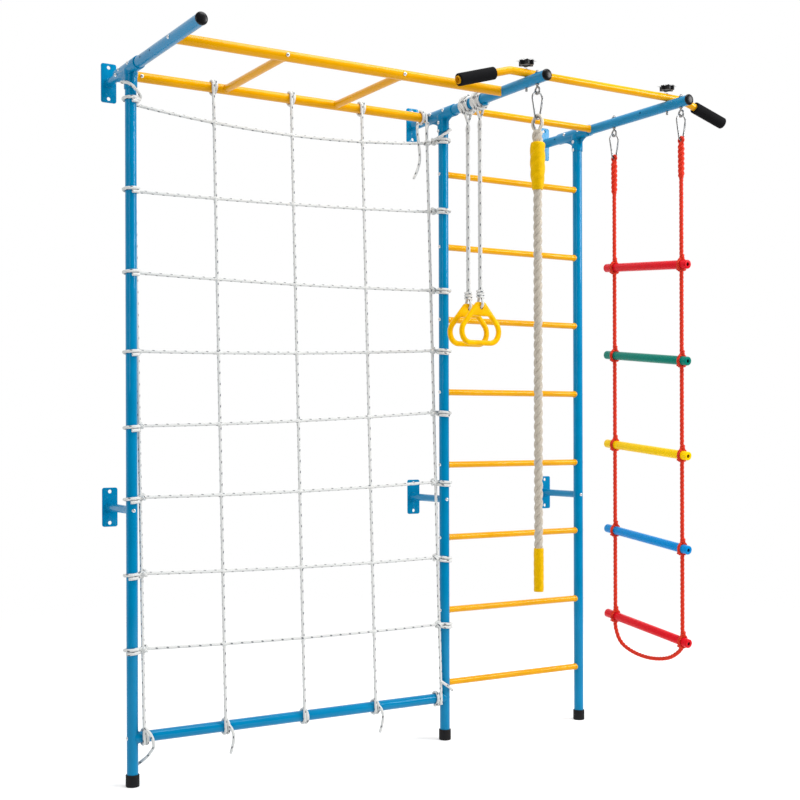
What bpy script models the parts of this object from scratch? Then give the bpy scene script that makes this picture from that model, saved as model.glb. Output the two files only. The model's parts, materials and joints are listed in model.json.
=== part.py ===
"""Wall-mounted Swedish ladder with monkey bars, climbing net, rings, rope and rope ladder.

Metres, +Z up. The origin is the centre of the back face of the middle post's upper wall plate:
the wall is the plane y = 0, the beams' axis is at z = 0 and the floor is BEAM_HEIGHT below it.
"""
import math

import bmesh
import bpy
from mathutils import Matrix, Vector

# Driving dimensions of the frame
LEFT_BAY = 1.14
RIGHT_BAY = 0.60
BEAM_HEIGHT = 2.20
POST_TO_WALL = 0.21
TUBE_R = 0.0175
TUBE_WALL = 0.0015
GAP = 0.0003
OVERHANG = 0.030
SUNK = 0.0005
BEAM_PAST_EYE = 0.036
BEAM_BACK = 0.188
LEFT_BEAM_REACH = 0.560
LEFT_BEAM_BACK = 0.100

# Feet, bottom bar, rungs and top bar
FOOT_R = 0.021
FOOT_HEIGHT = 0.037
FOOT_BASE = 0.004
FOOT_BEVEL = 0.003
BOTTOM_BAR_HEIGHT = 0.148
RUNG_R = 0.011
FIRST_RUNG_HEIGHT = 0.200
RUNG_PITCH = 0.2554
TOP_RUNG_CLEARANCE = 0.050
TOP_BAR_R = 0.012
TOP_BAR_REACH = 0.090

# Saddles that join the posts to the beams
SADDLE_WALL = 0.0027
SADDLE_BACK = 0.105
SADDLE_FRONT = 0.075
SADDLE_DROP = 0.065
SADDLE_WEB = 0.005
SADDLE_LIP = 0.006

# Monkey bars between the left and the middle beam
RAIL_R = 0.016
FRONT_RAIL_REACH = 0.360
BACK_RAIL_SETBACK = 0.085
CROSSBAR_R = 0.0125
CROSSBAR_OFFSETS = (0.35, 0.755)

# Wall brackets
PLATE_WIDTH = 0.050
PLATE_HEIGHT = 0.125
PLATE_THICKNESS = 0.005
PLATE_CORNER = 0.007
PLATE_HOLE_R = 0.006
PLATE_HOLE_SPACING = 0.100
ARM_R = 0.0125
ARM_FLARE = 0.004
ARM_FLARE_LENGTH = 0.020
ARM_PLUG = 0.030
LOWER_BRACKET_HEIGHT = 0.845

# Pull-up bar with its grips and star knobs
PULL_R = 0.0125
PULL_REACH = 0.490
PULL_BEND_OUT = 0.066
PULL_TIP_OUT = 0.265
PULL_DROP_ANGLE = math.radians(16.5)
PULL_BEND_R = 0.060
GRIP_R = 0.020
GRIP_LENGTH = 0.140
GRIP_INSET = 0.004
GRIP_CHAMFER = 0.003
KNOB_R = 0.026
KNOB_LOBE = 0.0035
KNOB_LOBES = 6
KNOB_THICKNESS = 0.018
KNOB_HUB_R = 0.012
KNOB_HUB_HEIGHT = 0.008
KNOB_ROUNDING = 0.003
STUD_R = 0.004
STUD_TAIL = 0.012
STUD_IN_HUB = 0.002

# Beam end caps
CAP_DOME = 0.009
CAP_RIM = 0.0185
CAP_EDGE = 0.003
CAP_PLUG = 0.014

# Eye bolts and snap hooks
EYE_R = 0.011
WIRE_R = 0.003
SHANK_R = 0.004
SHANK_PROUD = 0.008
EYE_COLLAR_R = 0.007
EYE_COLLAR_LIFT = 0.001
EYE_DROP = 0.050
LINK_GAP = 0.0008
ROPE_EYE_PAST_BAR = 0.058
LADDER_EYE_PAST_BAR = 0.069
LADDER_EYE_SPACING = 0.347
HOOK_LENGTH = 0.086
HOOK_TOP_R = 0.0195
HOOK_BOTTOM_R = 0.0095
GATE_END = 0.12
GATE_CLEARANCE = 0.0005
GATE_CHAMFER = 0.0008

# Climbing rope, hung from its thimble
ROPE_R = 0.01425
ROPE_LENGTH = 1.459
ROPE_NECK_R = 0.018
ROPE_NECK_LENGTH = 0.031
ROPE_TAPER = 0.006
ROPE_SLEEVE_R = 0.0245
ROPE_SLEEVE_SETBACK = 0.008
ROPE_SLEEVE_LENGTH = 0.150
ROPE_SLEEVE_TAPER = 0.012
ROPE_SLEEVE_LIP = 0.005
ROPE_TAIL_LENGTH = 0.137
ROPE_TAIL_R = 0.0162
ROPE_TAIL_TAPER = 0.012
THIMBLE_R = 0.0195
THIMBLE_WIRE_R = 0.0032
THIMBLE_DEPTH = 0.052
THIMBLE_OPEN = 20.0
THIMBLE_IN_ROPE = 0.0102

# Rope ladder: how far each rung hangs below the beam's axis, at the wall end and at the free end
LADDER_ROPE_R = 0.0068
LADDER_RUNG_R = 0.0152
LADDER_RUNG_PROUD_BACK = 0.045
LADDER_RUNG_PROUD_FRONT = 0.031
LADDER_RUNG_CHAMFER = 0.003
LADDER_RUNG_DROPS = ((0.522, 0.554), (0.839, 0.881), (1.162, 1.202), (1.471, 1.520), (1.780, 1.836))
LADDER_COLLAR_R = 0.0205
LADDER_COLLAR_WIDTH = 0.018
LADDER_EYE_ROPE_R = 0.0055
LADDER_EYE_R = 0.0125
LADDER_SPLICE_R = 0.0105
LADDER_SPLICE_DROP = 0.260
LADDER_LOOP = ((0.214, 1.830), (0.245, 1.878), (0.315, 1.904), (0.404, 1.911), (0.490, 1.897), (0.545, 1.865))

# Gym rings
RING_REACHES = (0.155, 0.227)
RING_WIDTH = 0.168
RING_DROP = 0.680
RING_HEIGHT = 0.147
RING_BAR = 0.016
RING_TOP_WIDTH = 0.034
RING_CROSSBAR = 0.048
RING_BASE_SHARE = 0.78
RING_SHOULDER_SHARE = 0.40
RING_CORNER_R = 0.028
RING_CROWN_R = 0.012
RING_GRIP_CORNER_R = 0.016
RING_GRIP_TOP_R = 0.010
RING_ROUNDING = 0.005
RING_HOLE_R = 0.0068
RING_HOLE_DROP = 0.019
RING_ROPE_R = 0.0045
RING_ROPE_SLACK = 0.002
RING_LASHING_TURNS = 1.75
RING_LEG_OFFSET = 0.65

# Climbing net between the left and the middle post
NET_R = 0.005
NET_TURNS = 1.25
NET_TOP_DROP = 0.090
NET_LOW_LEFT = 0.273
NET_LOW_RIGHT = 0.261
NET_SPREAD_LEFT = (0.0, 0.164, 0.314, 0.459, 0.596, 0.726, 0.864, 1.0)
NET_SPREAD_RIGHT = (0.0, 0.145, 0.310, 0.435, 0.563, 0.707, 0.863, 1.0)
NET_TOP_SAG = 0.038
NET_SAG = 0.008
NET_INSET = 0.030
NET_COLUMN_DRIFT = (0.0, -0.001, 0.008, 0.007, 0.0)

# Counts that set how finely round shapes are made
WIND_POINTS = 8
WIND_GAP = 0.0010
CORD_STEP = 7
TUBE_SIDES = 16
BAR_SIDES = 12

ROPE_EYE_REACH = PULL_REACH + ROPE_EYE_PAST_BAR
LADDER_EYE_REACH_FRONT = PULL_REACH + LADDER_EYE_PAST_BAR
LADDER_EYE_REACH_BACK = LADDER_EYE_REACH_FRONT - LADDER_EYE_SPACING
BEAM_REACH = LADDER_EYE_REACH_FRONT + BEAM_PAST_EYE
LEFT = -LEFT_BAY
MIDDLE = 0.0
RIGHT = RIGHT_BAY
BEAM_X = (LEFT, MIDDLE, RIGHT)
SIDE_NAMES = ("left", "middle", "right")
SLEEVE_R = TUBE_R + GAP + SADDLE_WALL
FACING_ROOM = Matrix.Rotation(math.radians(90), 4, "X")


def place(x, y, height):
    """World point from x past the middle post, y behind the posts' plane and height over the floor."""
    return Vector((x, y - POST_TO_WALL, height - BEAM_HEIGHT))


for old in list(bpy.data.objects):
    bpy.data.objects.remove(old, do_unlink=True)
parts = bpy.data.collections.new("swedish_ladder_climbing_wall")
cutters = bpy.data.collections.new("cutters")
bpy.context.scene.collection.children.link(parts)
bpy.context.scene.collection.children.link(cutters)


def material(name, color, roughness, metallic=0.0):
    made = bpy.data.materials.new(name)
    made.use_nodes = True
    shader = made.node_tree.nodes["Principled BSDF"]
    shader.inputs["Base Color"].default_value = (*color, 1.0)
    shader.inputs["Roughness"].default_value = roughness
    shader.inputs["Metallic"].default_value = metallic
    made.diffuse_color = (*color, 1.0)
    return made


BLUE = material("blue_paint", (0.012, 0.22, 0.50), 0.30)
YELLOW = material("yellow_paint", (0.90, 0.42, 0.008), 0.32)
BLACK = material("black_plastic", (0.015, 0.015, 0.017), 0.45)
FOAM = material("black_foam", (0.02, 0.02, 0.022), 0.85)
STEEL = material("zinc_steel", (0.62, 0.62, 0.62), 0.30, 1.0)
HEMP = material("pale_rope", (0.66, 0.62, 0.48), 0.85)
WHITE_ROPE = material("white_rope", (0.80, 0.80, 0.78), 0.80)
RED_ROPE = material("red_rope", (0.85, 0.06, 0.02), 0.75)
SLEEVE_YELLOW = material("yellow_sleeve", (0.90, 0.56, 0.0), 0.40)
RED = material("red_plastic", (0.80, 0.05, 0.03), 0.35)
GREEN = material("green_plastic", (0.0, 0.16, 0.11), 0.35)
RUNG_YELLOW = material("yellow_plastic", (0.92, 0.62, 0.01), 0.35)
RUNG_BLUE = material("blue_plastic", (0.006, 0.24, 0.62), 0.35)


def add(name, mesh, paint, location=(0.0, 0.0, 0.0), turn=None, sharp=40.0):
    """A named object of the model, shaded smooth except at edges sharper than the given angle."""
    item = bpy.data.objects.new(name, mesh)
    parts.objects.link(item)
    item.matrix_world = Matrix.Translation(location) @ (turn or Matrix.Identity(4))
    mesh.materials.clear()
    mesh.materials.append(paint)
    mesh.shade_smooth()
    mesh.set_sharp_from_angle(angle=math.radians(sharp))
    return item


def evaluated_mesh(item):
    bpy.context.view_layer.update()
    graph = bpy.context.evaluated_depsgraph_get()
    return bpy.data.meshes.new_from_object(item.evaluated_get(graph), depsgraph=graph)


def weld(mesh, distance=0.00001):
    bm = bmesh.new()
    bm.from_mesh(mesh)
    bmesh.ops.remove_doubles(bm, verts=bm.verts, dist=distance)
    bmesh.ops.recalc_face_normals(bm, faces=bm.faces)
    bm.to_mesh(mesh)
    bm.free()
    return mesh


def rod_mesh(name, length, radius, sides, tip_radius=None):
    """A closed rod along +Z from 0 to its length."""
    bm = bmesh.new()
    end = radius if tip_radius is None else tip_radius
    bmesh.ops.create_cone(bm, cap_ends=True, segments=sides, radius1=radius, radius2=end, depth=length)
    bmesh.ops.translate(bm, verts=bm.verts, vec=(0.0, 0.0, length / 2))
    mesh = bpy.data.meshes.new(name)
    bm.to_mesh(mesh)
    bm.free()
    return mesh


def along(start, end):
    """The turn that takes +Z to the way from start to end."""
    way = (Vector(end) - Vector(start)).normalized()
    return way.to_track_quat("Z", "Y").to_matrix().to_4x4()


def rod(name, start, end, radius, paint, sides=BAR_SIDES, tip_radius=None):
    length = (Vector(end) - Vector(start)).length
    return add(name, rod_mesh(name, length, radius, sides, tip_radius), paint, start, along(start, end))


def pipe(name, start, end, radius, wall, paint, sides=TUBE_SIDES):
    """An open cylinder that Solidify turns into a hollow tube."""
    length = (Vector(end) - Vector(start)).length
    bm = bmesh.new()
    bmesh.ops.create_cone(bm, cap_ends=False, segments=sides, radius1=radius, radius2=radius, depth=length)
    bmesh.ops.translate(bm, verts=bm.verts, vec=(0.0, 0.0, length / 2))
    bmesh.ops.recalc_face_normals(bm, faces=bm.faces)
    mesh = bpy.data.meshes.new(name)
    bm.to_mesh(mesh)
    bm.free()
    item = add(name, mesh, paint, start, along(start, end))
    shell = item.modifiers.new("wall", "SOLIDIFY")
    shell.thickness = wall
    shell.offset = -1.0
    return item


def turned(name, profile, paint, location=(0.0, 0.0, 0.0), turn=None, segments=TUBE_SIDES, ring=False):
    """A profile of (radius, height) pairs, down its outer side, swept once round Z by Screw."""
    mesh = bpy.data.meshes.new(name)
    count = len(profile)
    edges = [(i, i + 1) for i in range(count - 1)]
    if ring:
        edges.append((count - 1, 0))
    mesh.from_pydata([(radius, 0.0, height) for radius, height in profile], edges, [])
    item = bpy.data.objects.new(name, mesh)
    parts.objects.link(item)
    screw = item.modifiers.new("sweep", "SCREW")
    screw.steps = segments
    screw.render_steps = segments
    screw.use_merge_vertices = True
    screw.merge_threshold = 0.00001
    swept = weld(evaluated_mesh(item))
    bpy.data.objects.remove(item, do_unlink=True)
    return add(name, swept, paint, location, turn)


def tube(name, points, radius, paint, resolution=2, closed=False, radii=None, origin=None):
    """A curve object with a bevel on a POLY spline, made a mesh with its caps welded."""
    curve = bpy.data.curves.new(name, "CURVE")
    curve.dimensions = "3D"
    curve.bevel_depth = radius
    curve.bevel_resolution = resolution
    curve.use_fill_caps = not closed
    spline = curve.splines.new("POLY")
    spline.points.add(len(points) - 1)
    for index, point in enumerate(points):
        spline.points[index].co = (*point, 1.0)
        if radii:
            spline.points[index].radius = radii[index] / radius
    spline.use_cyclic_u = closed
    item = bpy.data.objects.new(name, curve)
    parts.objects.link(item)
    mesh = weld(evaluated_mesh(item))
    bpy.data.objects.remove(item, do_unlink=True)
    anchor = Vector(origin) if origin is not None else Vector((0.0, 0.0, 0.0))
    mesh.transform(Matrix.Translation(-anchor))
    return add(name, mesh, paint, anchor, sharp=60.0)


def flat(name, outlines, thickness, paint, location, turn, rounding=0.0, sharp=40.0):
    """A flat 2D curve, filled and extruded by half its thickness each way, with rounded edges if asked."""
    curve = bpy.data.curves.new(name, "CURVE")
    curve.dimensions = "2D"
    curve.fill_mode = "BOTH"
    curve.extrude = thickness / 2 - rounding
    curve.bevel_depth = rounding
    curve.bevel_resolution = 0
    curve.offset = -rounding
    for outline in outlines:
        spline = curve.splines.new("POLY")
        spline.points.add(len(outline) - 1)
        for index, (x, y) in enumerate(outline):
            spline.points[index].co = (x, y, 0.0, 1.0)
        spline.use_cyclic_u = True
    item = bpy.data.objects.new(name, curve)
    parts.objects.link(item)
    mesh = weld(evaluated_mesh(item))
    bpy.data.objects.remove(item, do_unlink=True)
    return add(name, mesh, paint, location, turn, sharp)


def fuse(pieces, origin=None):
    """Welds solids into the first one with an exact union and removes the others."""
    base = pieces[0]
    others = bpy.data.collections.new("others")
    bpy.context.scene.collection.children.link(others)
    for piece in pieces[1:]:
        parts.objects.unlink(piece)
        others.objects.link(piece)
    union = base.modifiers.new("union", "BOOLEAN")
    union.operation = "UNION"
    union.operand_type = "COLLECTION"
    union.collection = others
    union.solver = "EXACT"
    mesh = evaluated_mesh(base)
    mesh.transform(base.matrix_world)
    for piece in pieces[1:]:
        bpy.data.objects.remove(piece, do_unlink=True)
    bpy.data.collections.remove(others)
    name, paint = base.name, base.data.materials[0]
    bpy.data.objects.remove(base, do_unlink=True)
    anchor = Vector(origin) if origin is not None else Vector((0.0, 0.0, 0.0))
    mesh.transform(Matrix.Translation(-anchor))
    return add(name, mesh, paint, anchor)


def cut(item, *tools):
    """Takes each tool's volume out of the item with a live exact Boolean."""
    for tool in tools:
        for collection in list(tool.users_collection):
            collection.objects.unlink(tool)
        cutters.objects.link(tool)
        tool.hide_render = True
        tool.display_type = "WIRE"
        cutter = item.modifiers.new("cut", "BOOLEAN")
        cutter.operation = "DIFFERENCE"
        cutter.object = tool
        cutter.solver = "EXACT"


def circle(radius, count, x=0.0, y=0.0):
    steps = [2 * math.pi * i / count for i in range(count)]
    return [(x + radius * math.cos(a), y + radius * math.sin(a)) for a in steps]


def arc(x, y, radius, start, end, count):
    """Points of an arc in degrees, both ends included."""
    turns = [math.radians(start + (end - start) * i / (count - 1)) for i in range(count)]
    return [(x + radius * math.cos(a), y + radius * math.sin(a)) for a in turns]


def least_gap(points, radius):
    """The smallest gap of a tube to itself, measured between points over four diameters of tube apart."""
    lengths = [0.0]
    for before, after in zip(points, points[1:]):
        lengths.append(lengths[-1] + (Vector(after) - Vector(before)).length)
    least = 1.0
    for i, point in enumerate(points):
        for j in range(i + 1, len(points)):
            if lengths[j] - lengths[i] > 8 * radius:
                least = min(least, (Vector(points[j]) - Vector(point)).length - 2 * radius)
    return least


def wind(center, axis, away, radius, pitch, start, end, sense=1):
    """Points of a helix round an axis, from turn start to turn end, with turn 0 at `away`."""
    axis, away = Vector(axis), Vector(away)
    across = axis.cross(away) * sense
    steps = max(2, round(abs(end - start) * WIND_POINTS))
    points = []
    for i in range(steps + 1):
        turn = start + (end - start) * i / steps
        angle = 2 * math.pi * turn
        spoke = away * math.cos(angle) + across * math.sin(angle)
        points.append(Vector(center) + axis * pitch * turn + spoke * radius)
    return points


def wrap_radius(core, rope):
    """Radius of a faceted winding whose chords clear the core that it goes round."""
    return (core + rope + GAP) / math.cos(math.pi / WIND_POINTS)


def smooth_route(route, spacing):
    """Points a given spacing apart on a Catmull-Rom curve through the route."""
    ends = [route[0] * 2 - route[1]] + list(route) + [route[-1] * 2 - route[-2]]
    fine = [route[0]]
    for i in range(1, len(ends) - 2):
        a, b, c, d = ends[i - 1:i + 3]
        for k in range(1, 21):
            t = k / 20
            fine.append(0.5 * (2 * b + (c - a) * t + (2 * a - 5 * b + 4 * c - d) * t * t
                               + (3 * b - a - 3 * c + d) * t ** 3))
    total = sum((q - p).length for p, q in zip(fine, fine[1:]))
    count = max(2, round(total / spacing))
    points, walked, wanted = [fine[0]], 0.0, total / count
    for p, q in zip(fine, fine[1:]):
        step = (q - p).length
        while walked + step >= wanted - 1e-9 and len(points) < count:
            points.append(p.lerp(q, (wanted - walked) / step))
            wanted += total / count
        walked += step
    return points + [fine[-1]]


def clearance(name, start, end, radius, sides=TUBE_SIDES):
    """A cutter a little larger than a tube of this radius, facets included."""
    return rod(name, start, end, (radius + GAP) / math.cos(math.pi / sides), STEEL, sides)


def post_seat(x, height):
    """A cutter along a post, for a piece that is coped to the post at this height."""
    return clearance("post_seat", place(x, 0, height - OVERHANG), place(x, 0, height + OVERHANG), TUBE_R)


def make_posts():
    for side, x in zip(SIDE_NAMES, BEAM_X):
        top = BEAM_HEIGHT - TUBE_R - GAP
        pipe("post_" + side, place(x, 0, FOOT_BASE + GAP), place(x, 0, top), TUBE_R, TUBE_WALL, BLUE)
        bore = TUBE_R + GAP
        cup = [(0.0, FOOT_BASE), (bore, FOOT_BASE), (bore, FOOT_HEIGHT), (FOOT_R - FOOT_BEVEL, FOOT_HEIGHT),
               (FOOT_R, FOOT_HEIGHT - FOOT_BEVEL), (FOOT_R, 0.0), (0.0, 0.0)]
        turned("foot_" + side, cup, BLACK, place(x, 0, 0))


def make_bars():
    height = BOTTOM_BAR_HEIGHT
    bar = pipe("bottom_bar", place(LEFT, 0, height), place(MIDDLE, 0, height), TUBE_R, TUBE_WALL, BLUE)
    for x in (LEFT, MIDDLE):
        cut(bar, post_seat(x, height))
    top = rod("top_bar", place(MIDDLE, -TOP_BAR_REACH, BEAM_HEIGHT),
              place(RIGHT, -TOP_BAR_REACH, BEAM_HEIGHT), TOP_BAR_R, YELLOW)
    for x in (MIDDLE, RIGHT):
        cut(top, clearance("beam_seat", place(x, -TOP_BAR_REACH - OVERHANG, BEAM_HEIGHT),
                           place(x, -TOP_BAR_REACH + OVERHANG, BEAM_HEIGHT), TUBE_R))


def make_wall_rungs():
    """As many rungs as fit between the first one and the saddles."""
    room = BEAM_HEIGHT - SADDLE_DROP - TOP_RUNG_CLEARANCE - RUNG_R - FIRST_RUNG_HEIGHT
    for number in range(int(room / RUNG_PITCH) + 1):
        height = FIRST_RUNG_HEIGHT + number * RUNG_PITCH
        rung = rod("wall_rung_%d" % (number + 1), place(MIDDLE, 0, height), place(RIGHT, 0, height),
                   RUNG_R, YELLOW)
        for x in (MIDDLE, RIGHT):
            cut(rung, post_seat(x, height))


def make_saddle(side, x):
    """A tee that the post's top and the beam slide into, with a web in its two corners."""
    buried = SLEEVE_R - SADDLE_WALL / 2
    arm = rod("saddle_" + side, place(x, -SADDLE_FRONT, BEAM_HEIGHT), place(x, SADDLE_BACK, BEAM_HEIGHT),
              SLEEVE_R, BLUE, TUBE_SIDES)
    leg = rod("leg", place(x, 0, BEAM_HEIGHT - SADDLE_DROP), place(x, 0, BEAM_HEIGHT),
              SLEEVE_R, BLUE, TUBE_SIDES)
    outline = [(SADDLE_BACK - SADDLE_LIP, -TUBE_R / 2), (SADDLE_LIP - SADDLE_FRONT, -TUBE_R / 2)]
    for reach, start, end in ((-SADDLE_FRONT, 0, 90), (SADDLE_BACK, 90, 180)):
        tip = reach - math.copysign(SADDLE_LIP, reach)
        run = abs(tip) - buried
        rise = SADDLE_DROP - SADDLE_LIP - buried
        quarter = arc(0.0, 0.0, 1.0, end, start, 5)
        outline += [(tip + run * a, -SADDLE_DROP + SADDLE_LIP + rise * b) for a, b in quarter]
    web = flat("web", [outline], SADDLE_WEB, BLUE, place(x, 0, BEAM_HEIGHT),
               Matrix.Rotation(math.radians(90), 4, "Z") @ FACING_ROOM)
    saddle = fuse([arm, leg, web])
    beam_seat = clearance("beam_seat", place(x, -SADDLE_FRONT - OVERHANG, BEAM_HEIGHT),
                          place(x, SADDLE_BACK + OVERHANG, BEAM_HEIGHT), TUBE_R)
    post_seat = clearance("post_seat", place(x, 0, BEAM_HEIGHT - SADDLE_DROP - OVERHANG),
                          place(x, 0, BEAM_HEIGHT), TUBE_R)
    cut(saddle, beam_seat, post_seat)


def beam_ends(side):
    if side == "left":
        return LEFT_BEAM_BACK, -LEFT_BEAM_REACH
    return BEAM_BACK, -BEAM_REACH


def make_beams():
    for side, x in zip(SIDE_NAMES, BEAM_X):
        back, front = beam_ends(side)
        beam = pipe("beam_" + side, place(x, back, BEAM_HEIGHT), place(x, front, BEAM_HEIGHT),
                    TUBE_R, TUBE_WALL, BLUE)
        bolts = {"left": [], "middle": [ROPE_EYE_REACH, PULL_REACH],
                 "right": [LADDER_EYE_REACH_BACK, LADDER_EYE_REACH_FRONT, PULL_REACH]}[side]
        for reach in bolts:
            cut(beam, clearance("bolt_hole", place(x, -reach, BEAM_HEIGHT - OVERHANG),
                                place(x, -reach, BEAM_HEIGHT + OVERHANG), SHANK_R, BAR_SIDES))
        inner = TUBE_R - TUBE_WALL - GAP
        dome = [(0.0, CAP_DOME)]
        for angle in (60, 30, 0):
            turn = math.radians(angle)
            dome.append((CAP_RIM * math.cos(turn), CAP_EDGE + (CAP_DOME - CAP_EDGE) * math.sin(turn)))
        plug = [(CAP_RIM, GAP), (inner, GAP), (inner, -CAP_PLUG), (0.0, -CAP_PLUG)]
        turned("beam_cap_" + side, dome + plug, BLACK, place(x, front, BEAM_HEIGHT), FACING_ROOM)


def wall_plate(name, x, height, paint):
    """A plate against the wall with rounded corners and two screw holes."""
    half_w, half_h, corner = PLATE_WIDTH / 2, PLATE_HEIGHT / 2, PLATE_CORNER
    outline = []
    for sx, sy, start in ((1, 1, 0), (-1, 1, 90), (-1, -1, 180), (1, -1, 270)):
        outline += arc(sx * (half_w - corner), sy * (half_h - corner), corner, start, start + 90, 4)
    holes = [circle(PLATE_HOLE_R, 12, 0.0, s * PLATE_HOLE_SPACING / 2) for s in (1, -1)]
    return flat(name, [outline] + holes, PLATE_THICKNESS, paint,
                place(x, POST_TO_WALL - PLATE_THICKNESS / 2, height), FACING_ROOM)


def make_wall_brackets():
    face = POST_TO_WALL - PLATE_THICKNESS / 2
    for side, x in zip(SIDE_NAMES, BEAM_X):
        back = beam_ends(side)[0]
        plate = wall_plate("upper_wall_bracket_" + side, x, BEAM_HEIGHT, BLUE)
        arm = rod("arm", place(x, back + GAP, BEAM_HEIGHT), place(x, face, BEAM_HEIGHT), ARM_R, BLUE)
        plug = rod("plug", place(x, back - ARM_PLUG, BEAM_HEIGHT), place(x, back - GAP, BEAM_HEIGHT),
                   TUBE_R - TUBE_WALL - GAP, BLUE)
        neck = rod("neck", place(x, back - ARM_PLUG / 2, BEAM_HEIGHT), place(x, back + ARM_R, BEAM_HEIGHT),
                   ARM_R - SUNK, BLUE)
        fuse([plate, arm, plug, neck])
        lower = LOWER_BRACKET_HEIGHT
        plate = wall_plate("lower_wall_bracket_" + side, x, lower, BLUE)
        arm = rod("arm", place(x, 0, lower), place(x, face, lower), ARM_R, BLUE)
        flare = rod("flare", place(x, face - ARM_FLARE_LENGTH, lower), place(x, face, lower), ARM_R - SUNK,
                    BLUE, tip_radius=ARM_R + ARM_FLARE)
        bracket = fuse([plate, arm, flare])
        cut(bracket, post_seat(x, lower))


def make_monkey_bars():
    """Two rails and two crossbars welded into one frame, coped to the beams and the saddles."""
    rails = []
    for name, y in (("monkey_bar_frame", -FRONT_RAIL_REACH), ("back_rail", BACK_RAIL_SETBACK)):
        rails.append(rod(name, place(LEFT, y, BEAM_HEIGHT), place(MIDDLE, y, BEAM_HEIGHT),
                         RAIL_R, YELLOW, TUBE_SIDES))
    for offset in CROSSBAR_OFFSETS:
        x = LEFT + offset
        rails.append(rod("crossbar", place(x, -FRONT_RAIL_REACH, BEAM_HEIGHT),
                         place(x, BACK_RAIL_SETBACK, BEAM_HEIGHT), CROSSBAR_R, YELLOW))
    frame = fuse(rails)
    for x in (LEFT, MIDDLE):
        for y, radius in ((-FRONT_RAIL_REACH, TUBE_R), (BACK_RAIL_SETBACK, SLEEVE_R)):
            cut(frame, clearance("seat", place(x, y - OVERHANG, BEAM_HEIGHT),
                                 place(x, y + OVERHANG, BEAM_HEIGHT), radius))


def rounded_corner(before, corner, after, radius, steps):
    """An arc of the given radius that blends two straight runs."""
    a, b = (before - corner).normalized(), (after - corner).normalized()
    half = a.angle(b) / 2
    center = corner + (a + b).normalized() * radius / math.sin(half)
    start = corner + a * radius / math.tan(half) - center
    end = corner + b * radius / math.tan(half) - center
    sweep, axis = start.angle(end), start.cross(end).normalized()
    return [center + Matrix.Rotation(sweep * i / steps, 3, axis) @ start for i in range(steps + 1)]


def make_pull_up_bar():
    height = BEAM_HEIGHT + TUBE_R + PULL_R + GAP
    drop = (PULL_TIP_OUT - PULL_BEND_OUT) * math.tan(PULL_DROP_ANGLE)
    route = [place(MIDDLE - PULL_TIP_OUT, -PULL_REACH, height - drop),
             place(MIDDLE - PULL_BEND_OUT, -PULL_REACH, height),
             place(RIGHT + PULL_BEND_OUT, -PULL_REACH, height),
             place(RIGHT + PULL_TIP_OUT, -PULL_REACH, height - drop)]
    points = [route[0]]
    for i in (1, 2):
        points += rounded_corner(route[i - 1], route[i], route[i + 1], PULL_BEND_R, 3)
    bar = tube("pull_up_bar", points + [route[3]], PULL_R, YELLOW, resolution=4)
    for x in (MIDDLE, RIGHT):
        cut(bar, clearance("stud_hole", place(x, -PULL_REACH, height - OVERHANG),
                           place(x, -PULL_REACH, height + OVERHANG), STUD_R, BAR_SIDES))
    chamfer, bore = GRIP_CHAMFER, (PULL_R + GAP) / math.cos(math.pi / TUBE_SIDES)
    section = [(bore, GRIP_LENGTH), (GRIP_R - chamfer, GRIP_LENGTH), (GRIP_R, GRIP_LENGTH - chamfer),
               (GRIP_R, chamfer), (GRIP_R - chamfer, 0.0), (bore, 0.0)]
    for side, tip, bend in (("left", route[0], route[1]), ("right", route[3], route[2])):
        way = (bend - tip).normalized()
        turned("foam_grip_" + side, section, FOAM, tip + way * GRIP_INSET, along(tip, bend), ring=True)
    for side, x in (("left", MIDDLE), ("right", RIGHT)):
        make_knob("star_knob_" + side, place(x, -PULL_REACH, height + PULL_R + GAP))


def make_knob(name, seat):
    """A lobed knob with a hub and a stud that clamps the bar to the beam."""
    count = KNOB_LOBES * 3
    lobes = []
    for i in range(count):
        angle = 2 * math.pi * i / count
        radius = KNOB_R - KNOB_LOBE + KNOB_LOBE * math.cos(KNOB_LOBES * angle)
        lobes.append((radius * math.cos(angle), radius * math.sin(angle)))
    middle = KNOB_HUB_HEIGHT + KNOB_THICKNESS / 2
    star = flat(name, [lobes], KNOB_THICKNESS, BLACK, seat + Vector((0, 0, middle)), None, KNOB_ROUNDING)
    hub = rod("hub", seat, seat + Vector((0, 0, middle)), KNOB_HUB_R, BLACK)
    length = 2 * TUBE_R + 2 * PULL_R + 2 * GAP + STUD_TAIL
    stud = rod("stud", seat - Vector((0, 0, length)), seat + Vector((0, 0, STUD_IN_HUB)), STUD_R, STEEL)
    fuse([star, hub, stud], origin=seat)


def eye_bolt(name, x, reach):
    """A ring below the beam whose shank runs up through it."""
    wire = BEAM_HEIGHT - EYE_DROP
    center = place(x, -reach, wire + EYE_R)
    points = [center + Vector((0, EYE_R * math.cos(a), EYE_R * math.sin(a)))
              for a in [2 * math.pi * i / 12 for i in range(12)]]
    ring = tube(name, points, WIRE_R, STEEL, resolution=1, closed=True)
    shank = rod("shank", place(x, -reach, wire + 2 * EYE_R - WIRE_R * 0.5),
                place(x, -reach, BEAM_HEIGHT + TUBE_R + SHANK_PROUD), SHANK_R, STEEL, 10)
    collar = rod("collar", place(x, -reach, wire + 2 * EYE_R + EYE_COLLAR_LIFT),
                 place(x, -reach, BEAM_HEIGHT - TUBE_R - GAP), EYE_COLLAR_R, STEEL, 10)
    fuse([ring, shank, collar])
    return place(x, -reach, wire)


def hook_corners(top):
    """The four tangent points of a snap hook's straight sides, and its arc centres, in the XZ plane."""
    high = top - Vector((0, 0, HOOK_TOP_R))
    low = top - Vector((0, 0, HOOK_LENGTH - HOOK_BOTTOM_R))
    lean = math.asin((HOOK_TOP_R - HOOK_BOTTOM_R) / (high - low).length)
    return high, low, lean


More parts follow.
